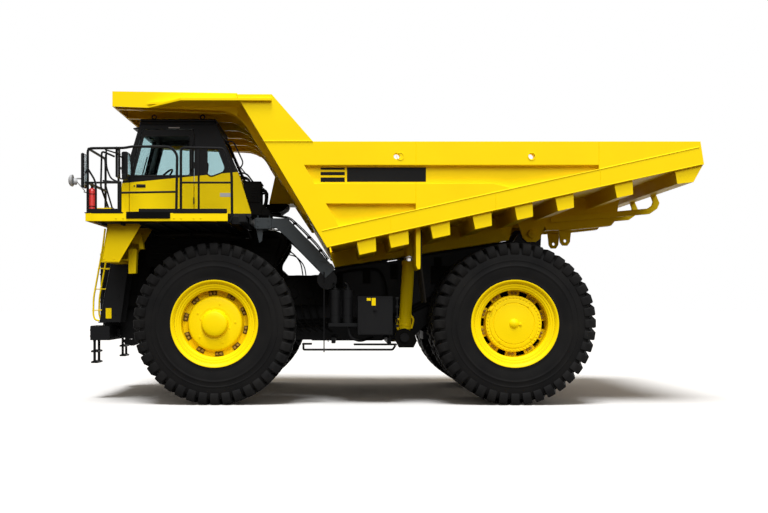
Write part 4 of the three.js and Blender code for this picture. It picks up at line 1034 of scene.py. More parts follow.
def mirror_glass():
    panes = Form()
    for side in SIDES.values():
        low, high = (2.765, 2.940) if side > 0 else (-2.940, -2.765)
        panes.box((behind(-2.031), low, 3.55), (behind(-2.028), high, 4.08), 0.001)
    panes.box((behind(-1.556), 2.465, 3.75), (behind(-1.553), 2.645, 4.225), 0.001)
    panes.box((behind(-1.438), 2.235, 3.815), (behind(-1.435), 2.425, 4.175), 0.001)
    return panes


def corner_lamp():
    """The small rounded lamp and dish mirror on the arm ahead of the left corner."""
    lamp = Form()
    at = Vector((behind(-2.262), 2.800, 3.665))
    lamp.lathe([(0.0, 0.055), (0.055, 0.050), (0.088, 0.030), (0.100, 0.0), (0.094, -0.012), (0.0, -0.018)],
               at, 24, across="x")
    lamp.disc(at + Vector((-0.02, 0.0, -0.02)), at + Vector((-0.075, -0.02, -0.02)), 0.050, 18, 0.012)
    return lamp


def corner_lamp_arm():
    arm = Form()
    arm.tube([(behind(RAIL_FRONT), RAIL_Y, 3.700), (behind(-2.19), 2.79, 3.70),
              (behind(-2.235), 2.80, 3.68)], 0.013, 8, 0.03)
    arm.tube([(behind(-2.07), RAIL_Y + 0.02, 3.50), (behind(-2.20), 2.79, 3.66)], 0.008, 8)
    arm.tube([(behind(RAIL_FRONT), RAIL_Y, 3.47), (behind(-2.09), RAIL_Y + 0.02, 3.49)], 0.011, 8)
    return arm


left_rails().piece("left_hand_rails", "root", BLACK, ["railing_left"], slot="black_paint")
right_rails().piece("right_hand_rails", "root", BLACK, ["railing_right"], slot="black_paint")
mirror_shells(1).piece("corner_mirror_left", "root", BLACK)
mirror_shells(-1).piece("corner_mirror_right", "root", BLACK)
cab_mirrors().piece("cab_mirrors", "root", BLACK)
mirror_glass().piece("mirror_glass", "root", CHROME)
corner_lamp().piece("corner_lamp", "root", GREY_PLASTIC)
corner_lamp_arm().piece("corner_lamp_arm", "root", GREY_PLASTIC)


def fire_bottle():
    """A fire extinguisher: bottle, neck, lever and hose."""
    bottle = Form()
    at = Vector((behind(-1.985), 2.62, DECK_TOP + 0.02))
    bottle.lathe([(0.0, 0.0), (0.062, 0.0), (0.070, 0.012), (0.070, 0.345), (0.060, 0.378), (0.030, 0.398),
                  (0.022, 0.405), (0.0, 0.405)], at, 32, across="z")
    return bottle


def fire_bottle_head():
    head = Form()
    at = Vector((behind(-1.985), 2.62, DECK_TOP + 0.42))
    head.disc(at, at + Vector((0, 0, 0.035)), 0.020, 16)
    head.box(at + Vector((-0.014, -0.03, 0.03)), at + Vector((0.014, 0.075, 0.042)), 0.004)
    head.tube([at + Vector((0, 0.0, 0.02)), at + Vector((-0.05, 0.03, 0.01)),
               at + Vector((-0.085, 0.04, -0.07)),
               at + Vector((-0.075, 0.04, -0.26))], 0.008, 8, 0.05)
    for z in (-0.10, -0.30):
        loop = [at + Vector((math.cos(a) * 0.074, math.sin(a) * 0.074, z))
                for a in (2 * math.pi * k / 24 for k in range(24))]
        head.tube(loop, 0.006, 6, 0.0, closed=True)
    return head


fire_bottle().piece("fire_extinguisher", "root", RED)
fire_bottle_head().piece("fire_extinguisher_head", "root", MATT_BLACK)


def deck_trim_bolts():
    bolts = Form()
    for d in (-1.562, -1.448, -0.621, -0.507, -0.304, -0.189):
        bolts.bolt((behind(d), DECK_HIGH.y, 3.062), (0, 1, 0), 0.011)
        bolts.bolt((behind(d), DECK_LOW.y, 3.062), (0, -1, 0), 0.011)
    for k in range(12):
        y = -2.5 + 5.0 * k / 11
        bolts.bolt((DECK_HIGH.x, y, 3.062), (1, 0, 0), 0.010)
    return bolts


def deck_mats():
    """Black anti-slip strips, the door step that hangs over the deck's edge and its ribs."""
    mats = Form()
    y = DECK_HIGH.y
    mats.box((behind(-0.681), y - 0.12, DECK_TOP - 0.085),
             (behind(-1.395), y + 0.022, DECK_TOP + 0.022), 0.008)
    for k in range(6):
        z = DECK_TOP - 0.07 + 0.016 * k
        mats.box((behind(-0.70), y + 0.018, z), (behind(-1.376), y + 0.026, z + 0.007), 0.001)
    for d0, d1 in ((-1.965, -1.45), (-0.63, 0.235)):
        mats.box((behind(d1), y - 0.055, DECK_TOP - 0.004), (behind(d0), y + 0.004, DECK_TOP + 0.010),
                 0.003)
    mats.box((behind(0.20), 2.02, DECK_TOP + 0.0005), (behind(-1.62), y - 0.10, DECK_TOP + 0.006), 0.001)
    for k in range(34):
        x = behind(-1.60) - 0.052 * k
        mats.box((x, 2.04, DECK_TOP + 0.005), (x - 0.012, y - 0.12, DECK_TOP + 0.010), 0.0)
    mats.box((behind(-1.66), -2.62, DECK_TOP + 0.0005), (behind(-1.96), 0.08, DECK_TOP + 0.006), 0.001)
    for k in range(5):
        x = behind(-1.94) - 0.058 * k
        mats.box((x, -2.60, DECK_TOP + 0.005), (x - 0.012, 0.06, DECK_TOP + 0.010), 0.0)
    return mats


def bracket_on_deck():
    """The dark bracket on the yellow pedestal ahead of the cab, with the mirror post's foot."""
    bracket = Form()
    bracket.box((behind(-1.86), 2.15, DECK_TOP + 0.11), (behind(-1.72), 2.30, DECK_TOP + 0.135), 0.005)
    rail(bracket, [(-1.80, 2.22, DECK_TOP + 0.12), (-1.88, 2.45, 3.60), (-1.83, 2.60, 4.17),
                   (-1.62, 2.60, 4.08)], 0.016, 0.05)
    rail(bracket, [(-1.74, 2.22, DECK_TOP + 0.12), (-1.80, 2.45, 3.62), (-1.77, 2.58, 4.12)], 0.014, 0.05)
    rail(bracket, [(-1.84, 2.47, 3.70), (-1.55, 2.60, 3.66)], 0.013, 0.05)
    return bracket


deck_trim_bolts().piece("deck_bolts", "root", YELLOW)
deck_mats().piece("deck_anti_slip", "root", MATT_BLACK)
bracket_on_deck().piece("mirror_bracket", "root", BLACK)


# ---------------------------------------------------------------- dump body
PANEL_Y = 2.660
BODY_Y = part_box("body_side_left")[1].y
HINGE = Vector(next(j for j in frame["joints"] if j["name"] == "dump_body_hinge")["pos_m"])


def floor_under(d):
    """Height of the floor's underside, a distance behind the front axle."""
    return 2.579 + (d - 1.862) * (3.930 - 2.579) / (7.980 - 1.862)


def rail_top(d):
    """Height of the sloping lower rail's upper edge."""
    return 2.834 + (d - 1.716) * (4.209 - 2.834) / (7.918 - 1.716)


def body_seams():
    """Weld beads and thin edge plates that stand proud of the body's outer face."""
    seams = Form()
    for d, low, high in ((3.306, rail_top(3.306) + 0.01, 3.640), (3.306, 3.914, 4.296),
                         (6.275, rail_top(6.275) + 0.02, 4.296)):
        seams.tube([(behind(d), BODY_Y + 0.001, low), (behind(d), BODY_Y + 0.001, high)], 0.006, 6)
    for d in (2.9, 4.6, 6.3):
        seams.tube([(behind(d), BODY_Y + 0.001, floor_under(d) + 0.01),
                    (behind(d), BODY_Y + 0.001, rail_top(d) - 0.01)], 0.005, 6)
    seams.tube([(behind(1.78), BODY_Y, rail_top(1.78) + 0.004),
                (behind(7.90), BODY_Y, rail_top(7.90) + 0.004)], 0.010, 8)
    seams.tube([(behind(1.90), BODY_Y, floor_under(1.90) + 0.012),
                (behind(7.93), BODY_Y, floor_under(7.93) + 0.012)], 0.006, 8)
    seams.box((behind(1.635), BODY_Y - 0.002, 4.298), (behind(0.840), BODY_Y + 0.014, 4.310), 0.003)
    for d in (3.05, 5.18):
        seams.lathe([(0.062, 0.0), (0.062, 0.008), (0.055, 0.008), (0.055, 0.0)],
                    (behind(d), BODY_Y, 4.06), 24)
    return seams


def body_bars():
    """Three dark bars and a blank dark plate on the side panel."""
    bars = Form()
    for high, low in ((3.890, 3.856), (3.820, 3.768), (3.730, 3.657)):
        bars.box((behind(2.150), PANEL_Y, low), (behind(1.756), PANEL_Y + 0.004, high), 0.001)
    bars.box((behind(3.475), PANEL_Y, 3.660), (behind(2.187), PANEL_Y + 0.005, 3.894), 0.002)
    return bars


def hinge_trim():
    """Bosses, pins and grease caps at the body's hinge brackets and rear lugs."""
    trim = Form()
    trim.lathe([(0.075, 0.690), (0.082, 0.700), (0.082, 0.735), (0.070, 0.752), (0.040, 0.756),
                (0.0, 0.757),
                (0.0, 0.690)], (HINGE.x, 0, HINGE.z), 32)
    trim.bolt((HINGE.x, 0.756, HINGE.z), (0, 1, 0), 0.022)
    for a in (0.6, 2.7, 4.8):
        trim.bolt((HINGE.x + math.cos(a) * 0.055, 0.750, HINGE.z + math.sin(a) * 0.055), (0, 1, 0), 0.010)
    trim.lathe([(0.030, 0.548), (0.058, 0.548), (0.058, 0.560), (0.030, 0.560)],
               (behind(6.195), 0, 2.82), 24)
    return trim


def prop_bar():
    """The bent flat bar under the tail that carries the body's safety sling."""
    bar = Form()
    outline = [(5.900, 3.240), (5.905, 3.140), (7.700, 3.300), (7.840, 3.400), (7.880, 3.500),
               (7.780, 3.735),
               (7.680, 3.735), (7.760, 3.520), (7.735, 3.450), (7.660, 3.400)]
    bar.side(outline, 0.665, 0.715, 0.008)
    bar.side([(7.60, 3.69), (7.87, 3.72), (7.87, 3.80), (7.60, 3.76)], 0.640, 0.740, 0.008)
    return bar


def mud_flap_hanger():
    """The strip ahead of the rear tyres that carries the rubber flap."""
    hanger = Form()
    hanger.side([(3.318, 2.93), (3.318, 2.300), (3.345, 2.235), (3.385, 2.235), (3.392, 2.300),
                 (3.392, 2.93)],
                1.66, 2.58, 0.006)
    return hanger


def mud_flap():
    flap = Form()
    flap.side([(3.396, 2.880), (3.396, 2.300), (3.470, 1.690), (3.492, 1.690), (3.418, 2.300),
               (3.418, 2.880)],
              1.68, 2.56, 0.004)
    for y in (1.80, 2.12, 2.44):
        for z in (2.42, 2.62):
            flap.bolt((behind(3.395), y, z), (-1, 0, 0), 0.016)
    return flap


def canopy_shelf():
    """The wedge under the canopy's side shelf: a flat top that widens to the rear, a sloping underside."""
    shelf = Form()
    inner, outer = 2.448, BODY_Y + 0.060
    rear, front, full = 0.965, -1.090, -0.50
    top, under, base = 4.998, 4.957, 4.925
    bm = bmesh.new()
    point = [bm.verts.new(v) for v in (
        (behind(front), inner, 4.935), (behind(full), outer, top), (behind(rear), outer, top),
        (behind(rear), inner, top), (behind(full), outer, under), (behind(rear), outer, under),
        (behind(front), inner, 4.905), (behind(full), inner, base), (behind(rear), inner, base))]
    tip, a, b, c, d, e, f, g, h = point
    for face in ((tip, a, b, c), (a, d, e, b), (tip, f, d, a), (f, g, d), (d, g, h, e), (b, e, h, c),
                 (tip, c, h, g, f)):
        bm.faces.new(face)
    return shelf._take(bm, 0.004, 2)


def canopy_ribs():
    """Narrow flanges along the free edges of the canopy's curved stiffeners."""
    flanges = Form()
    curve = rounded([Vector((-1.675, 0, 4.932)), Vector((0.040, 0, 4.865)), Vector((0.430, 0, 4.865)),
                     Vector((0.594, 0, 4.480)), Vector((1.465, 0, 3.160))], 0.42)
    for k in (-1.0, -0.6, -0.2, 0.2, 0.6, 1.0):
        y = k * 2.220
        outer = [(behind(p.x), p.z) for p in curve]
        bm = bmesh.new()
        rows = []
        for x, z in outer:
            rows.append([bm.verts.new((x, y + dy, z + dz)) for dy, dz in
                         ((-0.055, 0.006), (0.055, 0.006), (0.055, -0.010), (-0.055, -0.010))])
        for r0, r1 in zip(rows, rows[1:]):
            for i in range(4):
                bm.faces.new((r0[i], r0[(i + 1) % 4], r1[(i + 1) % 4], r1[i]))
        bm.faces.new(rows[0][::-1])
        bm.faces.new(rows[-1])
        flanges._take(bm, 0.0, 1)
    return flanges


def wear_strips():
    """Wear plates along and across the floor, seen from above."""
    strips = Form()
    for k in range(6):
        y = -2.0 + 0.8 * k
        strips.side([(2.10, floor_under(2.10) + 0.086), (7.85, floor_under(7.85) + 0.086),
                     (7.85, floor_under(7.85) + 0.096), (2.10, floor_under(2.10) + 0.096)], y - 0.03,
                     y + 0.03, 0.002)
    for d in (3.4, 4.9, 6.4, 7.6):
        z = floor_under(d) + 0.086
        strips.side([(d - 0.06, z - 0.013), (d + 0.06, z + 0.013), (d + 0.06, z + 0.024),
                     (d - 0.06, z - 0.002)],
                    -2.56, 2.56, 0.002)
    return strips


def exhaust_box():
    """Heated-body exhaust connection below the duct on the front wall."""
    box = Form()
    box.side([(0.640, 3.590), (0.630, 3.430), (0.900, 3.430), (1.030, 3.520), (1.060, 3.590)], -1.29,
             -0.48, 0.012)
    box.side([(0.625, 3.450), (0.625, 3.430), (0.910, 3.430), (0.910, 3.450)], -1.32, -0.45, 0.004)
    return box


both_sides(body_seams, "body_seams", "dump_body", YELLOW)
both_sides(body_bars, "body_dark_bars", "dump_body", BLACK)
both_sides(hinge_trim, "body_hinge_trim", "dump_body", YELLOW)
both_sides(prop_bar, "body_prop_bar", "dump_body", YELLOW)
both_sides(mud_flap_hanger, "mud_flap_hanger", "dump_body", YELLOW)
both_sides(mud_flap, "mud_flap", "dump_body", FLAP_RUBBER)
both_sides(canopy_shelf, "canopy_shelf", "dump_body", YELLOW)
exhaust_box().piece("body_exhaust_box", "dump_body", MATT_BLACK)
canopy_ribs().piece("canopy_rib_flanges", "dump_body", YELLOW)
wear_strips().piece("body_wear_strips", "dump_body", INSIDE_YELLOW)


# ---------------------------------------------------------------- under the deck
LINER_Y = 1.030
SHROUD_Y = 0.800


def wheel_liner():
    """Pressed sheet between the wheel and the engine, cut round the strut, with beads and bolts."""
    liner = Form()
    liner.side([(-1.40, 2.33), (-1.40, 2.835), (1.00, 2.835), (0.86, 2.33), (0.24, 2.33), (0.24, 2.79),
                (-0.24, 2.79), (-0.24, 2.33)], LINER_Y, LINER_Y + 0.008, 0.0)
    for d0, d1 in ((-1.32, -0.32), (0.32, 0.84)):
        for z in (2.45, 2.58, 2.71):
            liner.tube([(behind(d0), LINER_Y + 0.008, z), (behind(d1), LINER_Y + 0.008, z)], 0.012, 8)
    for d in (-1.36, -1.0, -0.64, -0.28, 0.28, 0.60, 0.92):
        liner.bolt((behind(d), LINER_Y + 0.008, 2.805), (0, 1, 0), 0.014)
    for d in (-1.30, -0.60, 0.55):
        liner.tube([(behind(d), LINER_Y - 0.01, 2.80), (behind(d), LINER_Y - 0.01, 3.02)], 0.022, 8)
        liner.tube([(behind(d), LINER_Y - 0.01, 2.60), (behind(d), 0.60, 2.42)], 0.022, 8)
    return liner


def fan_shroud():
    """Side panel that closes the space between the radiator and the engine, with its edge angle."""
    shroud = Form()
    shroud.side([(-1.965, 1.62), (-1.965, 2.99), (-1.36, 2.99), (-1.30, 2.60), (-1.42, 2.05),
                 (-1.42, 1.62)],
                SHROUD_Y, SHROUD_Y + 0.010, 0.0)
    shroud.tube([(behind(-1.36), SHROUD_Y + 0.005, 2.97), (behind(-1.305), SHROUD_Y + 0.005, 2.60),
                 (behind(-1.425), SHROUD_Y + 0.005, 2.05), (behind(-1.425), SHROUD_Y + 0.005, 1.63)],
                 0.016, 8, 0.05)
    for z in (1.85, 2.15, 2.45, 2.75):
        shroud.box((behind(-1.46), SHROUD_Y + 0.01, z - 0.012),
                   (behind(-1.92), SHROUD_Y + 0.026, z + 0.012), 0.004)
    for z in (1.70, 2.00, 2.30, 2.60, 2.90):
        shroud.bolt((behind(-1.94), SHROUD_Y + 0.01, z), (0, 1, 0), 0.014)
    return shroud


def engine_sides():
    """Exhaust, turbocharger, filters and pipes beside and above the engine block."""
    pipes = Form()
    pipes.disc((behind(-0.95), 0.60, 2.70), (behind(0.30), 0.60, 2.70), 0.165, 28, 0.03)
    for d in (-0.80, -0.35, 0.10):
        pipes.disc((behind(d), 0.60, 2.70), (behind(d) + 0.03, 0.60, 2.70), 0.172, 28, 0.004)
    pipes.tube([(behind(-0.97), 0.60, 2.70), (behind(-1.12), 0.60, 2.70), (behind(-1.12), 0.46, 2.36),
                (behind(-0.9), 0.42, 2.30)], 0.065, 14, 0.12)
    for k in range(6):
        d = -1.15 + 0.27 * k
        pipes.tube([(behind(d), 0.39, 2.20), (behind(d), 0.50, 2.22), (behind(d + 0.02), 0.55, 2.40),
                    (behind(d + 0.05), 0.58, 2.58)], 0.036, 10, 0.06)
        pipes.box((behind(d - 0.10), 0.392, 2.28), (behind(d + 0.10), 0.43, 2.46), 0.015)
    for k in range(4):
        d = -0.10 + 0.15 * k
        pipes.disc((behind(d), 0.50, 1.42), (behind(d), 0.50, 1.72), 0.056, 16, 0.01)
    pipes.lathe([(0.0, 0.43), (0.12, 0.44), (0.17, 0.48), (0.17, 0.56), (0.12, 0.62), (0.06, 0.64),
                 (0.0, 0.64)],
                (behind(0.46), 0, 2.60), 24)
    pipes.tube([(behind(0.46), 0.60, 2.60), (behind(0.46), 0.80, 2.62), (behind(0.30), 0.92, 2.86),
                (behind(-0.40), 0.92, 2.92), (behind(-1.20), 0.90, 2.90)], 0.062, 14, 0.16)
    return pipes


def rear_pipes():
    """The rounded bundle of coolers, elbows and hoses that shows behind the front wheel."""
    bundle = Form()
    bundle.side([(0.42, 2.955), (1.06, 2.955), (1.105, 2.86), (1.03, 2.72), (0.86, 2.42), (0.62, 2.36),
                 (0.42, 2.56)],
                0.66, 0.86, 0.03)
    bundle.tube([(behind(0.30), 0.93, 2.93), (behind(0.92), 0.93, 2.93), (behind(1.075), 0.93, 2.84),
                 (behind(0.99), 0.92, 2.62), (behind(0.86), 0.88, 2.42), (behind(0.92), 0.80, 2.10)],
                 0.055, 12, 0.14)
    bundle.tube([(behind(0.20), 0.99, 2.90), (behind(0.78), 0.99, 2.84), (behind(0.93), 0.99, 2.66),
                 (behind(0.80), 0.96, 2.40), (behind(0.98), 0.84, 2.02)], 0.034, 10, 0.12)
    bundle.tube([(behind(1.02), 0.90, 2.64), (behind(1.20), 0.90, 2.60), (behind(1.36), 0.88, 2.42),
                 (behind(1.40), 0.86, 2.16)], 0.011, 8, 0.16)
    bundle.disc((behind(0.99), 0.86, 2.57), (behind(1.085), 0.86, 2.72), 0.028, 12, 0.004)
    bundle.box((behind(1.85), 0.66, 1.63), (behind(1.08), 0.87, 2.18), 0.03)
    bundle.box((behind(1.62), 0.70, 2.07), (behind(1.42), 0.88, 2.15), 0.015)
    bundle.disc((behind(1.22), 0.87, 1.86), (behind(1.22), 0.91, 1.86), 0.10, 24, 0.01)
    bundle.disc((behind(1.52), 0.87, 1.84), (behind(1.52), 0.91, 1.84), 0.075, 24, 0.01)
    for k in range(5):
        d = 1.10 + 0.13 * k
        bundle.tube([(behind(d - 0.16), 0.90 - 0.02 * k, 2.02 - 0.03 * k),
                     (behind(d), 0.90 - 0.02 * k, 2.15 + 0.02 * (k % 2)),
                     (behind(d + 0.30), 0.88 - 0.02 * k, 2.17 - 0.02 * (k % 3)),
                     (behind(d + 0.46), 0.86 - 0.02 * k, 1.98)],
                    0.020, 8, 0.14)
        bundle.tube([(behind(d), 0.86, 1.70), (behind(d + 0.02), 0.88, 1.55),
                     (behind(d + 0.10), 0.86, 1.30),
                     (behind(d + 0.30), 0.80, 1.16)], 0.017, 8, 0.10)
    return bundle


def frame_lines():
    """Hoses, pipe clamps and bolted plates along the outside of the frame rail."""
    lines = Form()
    y = 0.640
    for z in (1.20, 1.255, 1.31):
        lines.tube([(behind(-1.20), y + 0.035, z), (behind(2.9), y + 0.035, z + 0.10),
                    (behind(3.6), y + 0.035, z + 0.42),
                    (behind(4.35), y + 0.035, z + 0.78)], 0.017, 8, 0.2)
    for d in (-0.9, -0.2, 0.9, 1.8, 2.7):
        lines.box((behind(d + 0.025), y, 1.19 + 0.025 * d),
                  (behind(d - 0.025), y + 0.06, 1.33 + 0.025 * d), 0.006)
    for d in (2.05, 2.55, 3.05, 3.85):
        top = 2.275 + (d - 1.9) * 0.154
        lines.box((behind(d + 0.07), y, top - 0.34), (behind(d - 0.07), y + 0.012, top - 0.06), 0.004)
        for z in (top - 0.29, top - 0.11):
            lines.bolt((behind(d), y + 0.012, z), (0, 1, 0), 0.018)
    lines.box((behind(4.55), y, 2.02), (behind(3.72), y + 0.014, 2.36), 0.006)
    for d in (3.80, 4.05, 4.30, 4.48):
        for z in (2.08, 2.30):
            lines.bolt((behind(d), y + 0.014, z), (0, 1, 0), 0.016)
    lines.tube([(behind(1.95), 0.70, 2.20), (behind(2.30), 0.78, 2.28), (behind(2.78), 0.80, 2.30),
                (behind(2.90), 0.84, 2.02),
                (behind(2.92), 0.86, 1.40), (behind(2.94), 0.84, 1.12)], 0.022, 8, 0.16)
    return lines


def guard_bar():
    """The low bar between the wheels, its hangers and the thin rod down from the brace's foot."""
    bar = Form()
    y = 2.30
    bar.tube([(behind(1.462), y, 0.985), (behind(1.462), y, 0.905), (behind(2.95), y, 0.905),
              (behind(2.995), y, 0.975)],
             0.018, 8, 0.02)
    bar.box((behind(1.60), 2.05, 0.985), (behind(1.44), y + 0.02, 1.010), 0.004)
    bar.box((behind(3.02), 2.05, 0.975), (behind(2.30), y + 0.02, 1.000), 0.004)
    for d in (1.96, 2.90):
        bar.side([(d - 0.035, 1.0), (d + 0.035, 1.0), (d + 0.035, 1.10), (d - 0.035, 1.10)], 0.66, 2.10,
                 0.006)
    bar.tube([(behind(1.80), 2.10, 2.20), (behind(1.805), y, 2.02), (behind(1.805), y, 0.86)], 0.010, 8,
             0.05)
    return bar


both_sides(wheel_liner, "wheel_liner", "root", MATT_BLACK)
both_sides(fan_shroud, "fan_shroud", "root", MATT_BLACK)
both_sides(engine_sides, "engine_pipes", "root", ENGINE_GREY)
both_sides(rear_pipes, "pipe_bundle", "root", MATT_BLACK)
both_sides(frame_lines, "frame_lines", "root", MATT_BLACK)
both_sides(guard_bar, "guard_bar", "root", BLACK)


# ---------------------------------------------------------------- tanks, brace and hoist
def tank_trim():
    """Filler cap, gauge glass, drain and straps of the side tank, with the accumulators' necks."""
    trim = Form()
    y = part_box("fuel_tank")[1].y
    trim.disc((behind(2.654), y - 0.004, 1.573), (behind(2.654), y + 0.030, 1.573), 0.034, 24, 0.006)
    trim.disc((behind(2.654), y + 0.026, 1.573), (behind(2.654), y + 0.044, 1.573), 0.020, 6, 0.003)
    for z0, z1 in ((1.172, 1.182), (1.768, 1.778)):
        trim.box((behind(2.930), y - 0.002, z0), (behind(2.378), y + 0.004, z1), 0.001)
    for d in (2.378, 2.920):
        trim.box((behind(d + 0.010), y - 0.002, 1.182), (behind(d), y + 0.004, 1.768), 0.001)
    for d in (2.41, 2.90):
        for z in (1.22, 1.73):
            trim.bolt((behind(d), y, z), (0, 1, 0), 0.012)
    trim.tube([(behind(2.98), 2.30, 1.25), (behind(3.02), 2.36, 1.40), (behind(3.02), 2.36, 1.78)],
              0.012, 8, 0.05)
    for z in (1.30, 1.45, 1.62, 1.76):
        trim.box((behind(3.045), 2.345, z - 0.02), (behind(2.995), 2.375, z + 0.02), 0.004)
    for d in (1.990, 2.200):
        trim.disc((behind(d), 2.20, 1.895), (behind(d), 2.20, 1.935), 0.040, 18, 0.006)
        trim.tube([(behind(d), 2.20, 1.93), (behind(d), 2.20, 1.98), (behind(d) + 0.03, 2.05, 2.02),
                   (behind(d) + 0.06, 1.60, 1.96)], 0.014, 8, 0.05)
        for z in (1.50, 1.78):
            trim.lathe([(0.087, -0.018), (0.093, -0.018), (0.093, 0.018), (0.087, 0.018)],
                       (behind(d), 2.20, z), 24,
                       across="z")
    trim.tube([(behind(2.20), 2.24, 1.33), (behind(2.24), 2.26, 1.10), (behind(2.40), 2.26, 1.04),
               (behind(2.62), 2.10, 1.10)],
              0.020, 8, 0.08)
    return trim


def tank_labels():
    """Two small blank yellow labels on the tank and one beside the radiator."""
    plates = Form()
    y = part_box("fuel_tank")[1].y
    plates.box((behind(2.661), y, 1.639), (behind(2.595), y + 0.003, 1.764), 0.001)
    plates.box((behind(2.580), y, 1.720), (behind(2.514), y + 0.003, 1.764), 0.001)
    plates.box((behind(-1.940), 1.390, 1.410), (behind(-2.040), 1.394, 1.590), 0.001)
    return plates


def brace_trim():
    """Boxed joint, bolted foot and the hose that runs down the brace behind the cab."""
    trim = Form()
    y = 1.985
    trim.side([(0.636, 2.938), (0.906, 2.938), (0.906, 3.126), (0.636, 3.126)], 1.80, y + 0.020, 0.01)
    for d, z in ((0.68, 2.99), (0.86, 2.99), (0.68, 3.08), (0.86, 3.08)):
        trim.bolt((behind(d), y + 0.020, z), (0, 1, 0), 0.017)
    for d in (0.67, 0.87):
        trim.tube([(behind(d), 1.90, 3.12), (behind(d), 1.90, 3.175)], 0.014, 8)
    trim.side([(1.627, 2.405), (1.935, 2.345), (1.990, 2.262), (1.820, 2.105), (1.70, 2.252)], y,
              y + 0.014, 0.004)
    for d, z in ((1.75, 2.345), (1.86, 2.27), (1.79, 2.19)):
        trim.bolt((behind(d), y + 0.014, z), (0, 1, 0), 0.020)
    trim.side([(0.64, 2.94), (0.76, 2.94), (0.74, 2.74), (0.69, 2.70)], 1.86, 1.90, 0.006)
    return trim


def brace_hose():
    """Hose clipped along the brace, rising behind the cab."""
    hose = Form()
    path = [(0.52, 3.20), (0.95, 3.165), (1.20, 3.13), (1.42, 2.93), (1.65, 2.69), (1.80, 2.50),
            (1.86, 2.42)]
    hose.tube([(behind(d), 1.87, z) for d, z in path], 0.012, 8, 0.08)
    hose.tube([(behind(d + 0.02), 1.93, z + 0.012) for d, z in path], 0.009, 8, 0.08)
    for d, z in ((1.30, 3.04), (1.54, 2.80), (1.74, 2.58)):
        hose.box((behind(d + 0.03), 1.85, z - 0.025), (behind(d - 0.03), 1.95, z + 0.02), 0.006)
    hose.tube([(behind(0.10), 1.80, 3.05), (behind(0.30), 1.90, 3.06), (behind(0.48), 1.94, 2.97),
               (behind(0.56), 1.94, 2.78)],
              0.010, 8, 0.15)
    return hose


def service_box():
    """The control box behind the cab: case, lid, vents, legs and its hoses to the cab."""
    box = Form()
    box.box((behind(0.712), 1.30, 3.400), (behind(0.420), 1.86, 3.735), 0.014)
    box.box((behind(0.722), 1.29, 3.735), (behind(0.410), 1.87, 3.760), 0.008)
    for k in range(5):
        z = 3.46 + 0.045 * k
        box.box((behind(0.69), 1.855, z), (behind(0.56), 1.868, z + 0.016), 0.002)
    box.side([(0.50, 3.41), (0.70, 3.41), (0.86, 3.27), (0.91, 3.13), (0.58, 3.13)], 1.34, 1.84, 0.01)
    for d in (0.45, 0.68):
        for y in (1.36, 1.80):
            box.tube([(behind(d), y, 3.115), (behind(d), y, 3.41)], 0.020, 8)
    for k, (y, top) in enumerate(((1.42, 3.80), (1.55, 3.86), (1.68, 3.82), (1.80, 3.90))):
        box.tube([(behind(0.50 + 0.03 * k), y, 3.74), (behind(0.47), y, top), (behind(0.34), y, top + 0.02),
                  (behind(0.30), y, top - 0.10)], 0.014, 8, 0.06)
    for k in range(4):
        y = 1.84 - 0.11 * k
        box.tube([(behind(0.70), y, 3.66 - 0.03 * k), (behind(0.79 + 0.02 * (k % 2)), y, 3.62),
                  (behind(0.80), y, 3.40),
                  (behind(0.70), y, 3.24), (behind(0.74), y, 3.13)], 0.016, 8, 0.09)
        box.tube([(behind(0.44 + 0.05 * k), y, 3.42), (behind(0.46 + 0.05 * k), y, 3.30),
                  (behind(0.56 + 0.03 * k), y, 3.20), (behind(0.62), y, 3.13)], 0.015, 8, 0.08)
    return box


def hoist_line():
    """Foot pin, head pin and length of the left hoist cylinder at rest."""
    joints = {j["name"]: Vector(j["pos_m"]) for j in frame["joints"] if "pos_m" in j}
    foot = joints["hoist_barrel_left_tilt"]
    low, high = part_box("hoist_rod_left")
    head = Vector((low.x + 0.092, foot.y, high.z - 0.092))
    return foot, (head - foot).normalized()


def hoist_trim():
    """Gland, collars, welded foot and hose elbows of a hoist cylinder's barrel."""
    trim = Form()
    foot, way = hoist_line()
    trim.disc(foot + way * 1.285, foot + way * 1.345, 0.122, 32, 0.008)
    trim.disc(foot + way * 0.20, foot + way * 0.245, 0.116, 32, 0.008)
    trim.disc(foot + way * 0.245, foot + way * 0.40, 0.1115, 32, 0.004)
    for k in range(8):
        a = 2 * math.pi * (k + 0.5) / 8
        side = Vector((0, 1, 0)) * math.cos(a) + way.cross(Vector((0, 1, 0))) * math.sin(a)
        trim.bolt(foot + way * 1.345 + side * 0.103, way, 0.011)
    for y in (-0.060, 0.060):
        trim.lathe([(0.085, y - 0.008), (0.150, y - 0.008), (0.150, y + 0.008), (0.085, y + 0.008)],
                   foot, 32)
    trim.tube([foot + way * 0.32 + Vector((0.09, 0.03, 0)), foot + way * 0.32 + Vector((0.15, 0.04, 0.0)),
               foot + way * 0.22 + Vector((0.15, 0.04, 0)),
               foot + way * 0.12 + Vector((0.11, 0.02, 0))], 0.018, 8, 0.04)
    trim.tube([foot + way * 0.40 + Vector((-0.09, 0.03, 0)), foot + way * 0.32 + Vector((-0.15, 0.04, 0.0)),
               foot + way * 0.16 + Vector((-0.12, 0.03, 0))], 0.016, 8, 0.04)
    return trim


def stage_gland():
    """The ring at the top of the middle stage."""
    gland = Form()
    foot, way = hoist_line()
    ring = Form().disc(foot + way * 1.392, foot + way * 1.425, 0.090, 32, 0.006)
    return gland.add(ring)


def rod_shield():
    """Painted sleeve over the bright rod just above the middle stage."""
    shield = Form()
    foot, way = hoist_line()
    return shield.disc(foot + way * 1.435, foot + way * 1.66, 0.083, 32, 0.006)


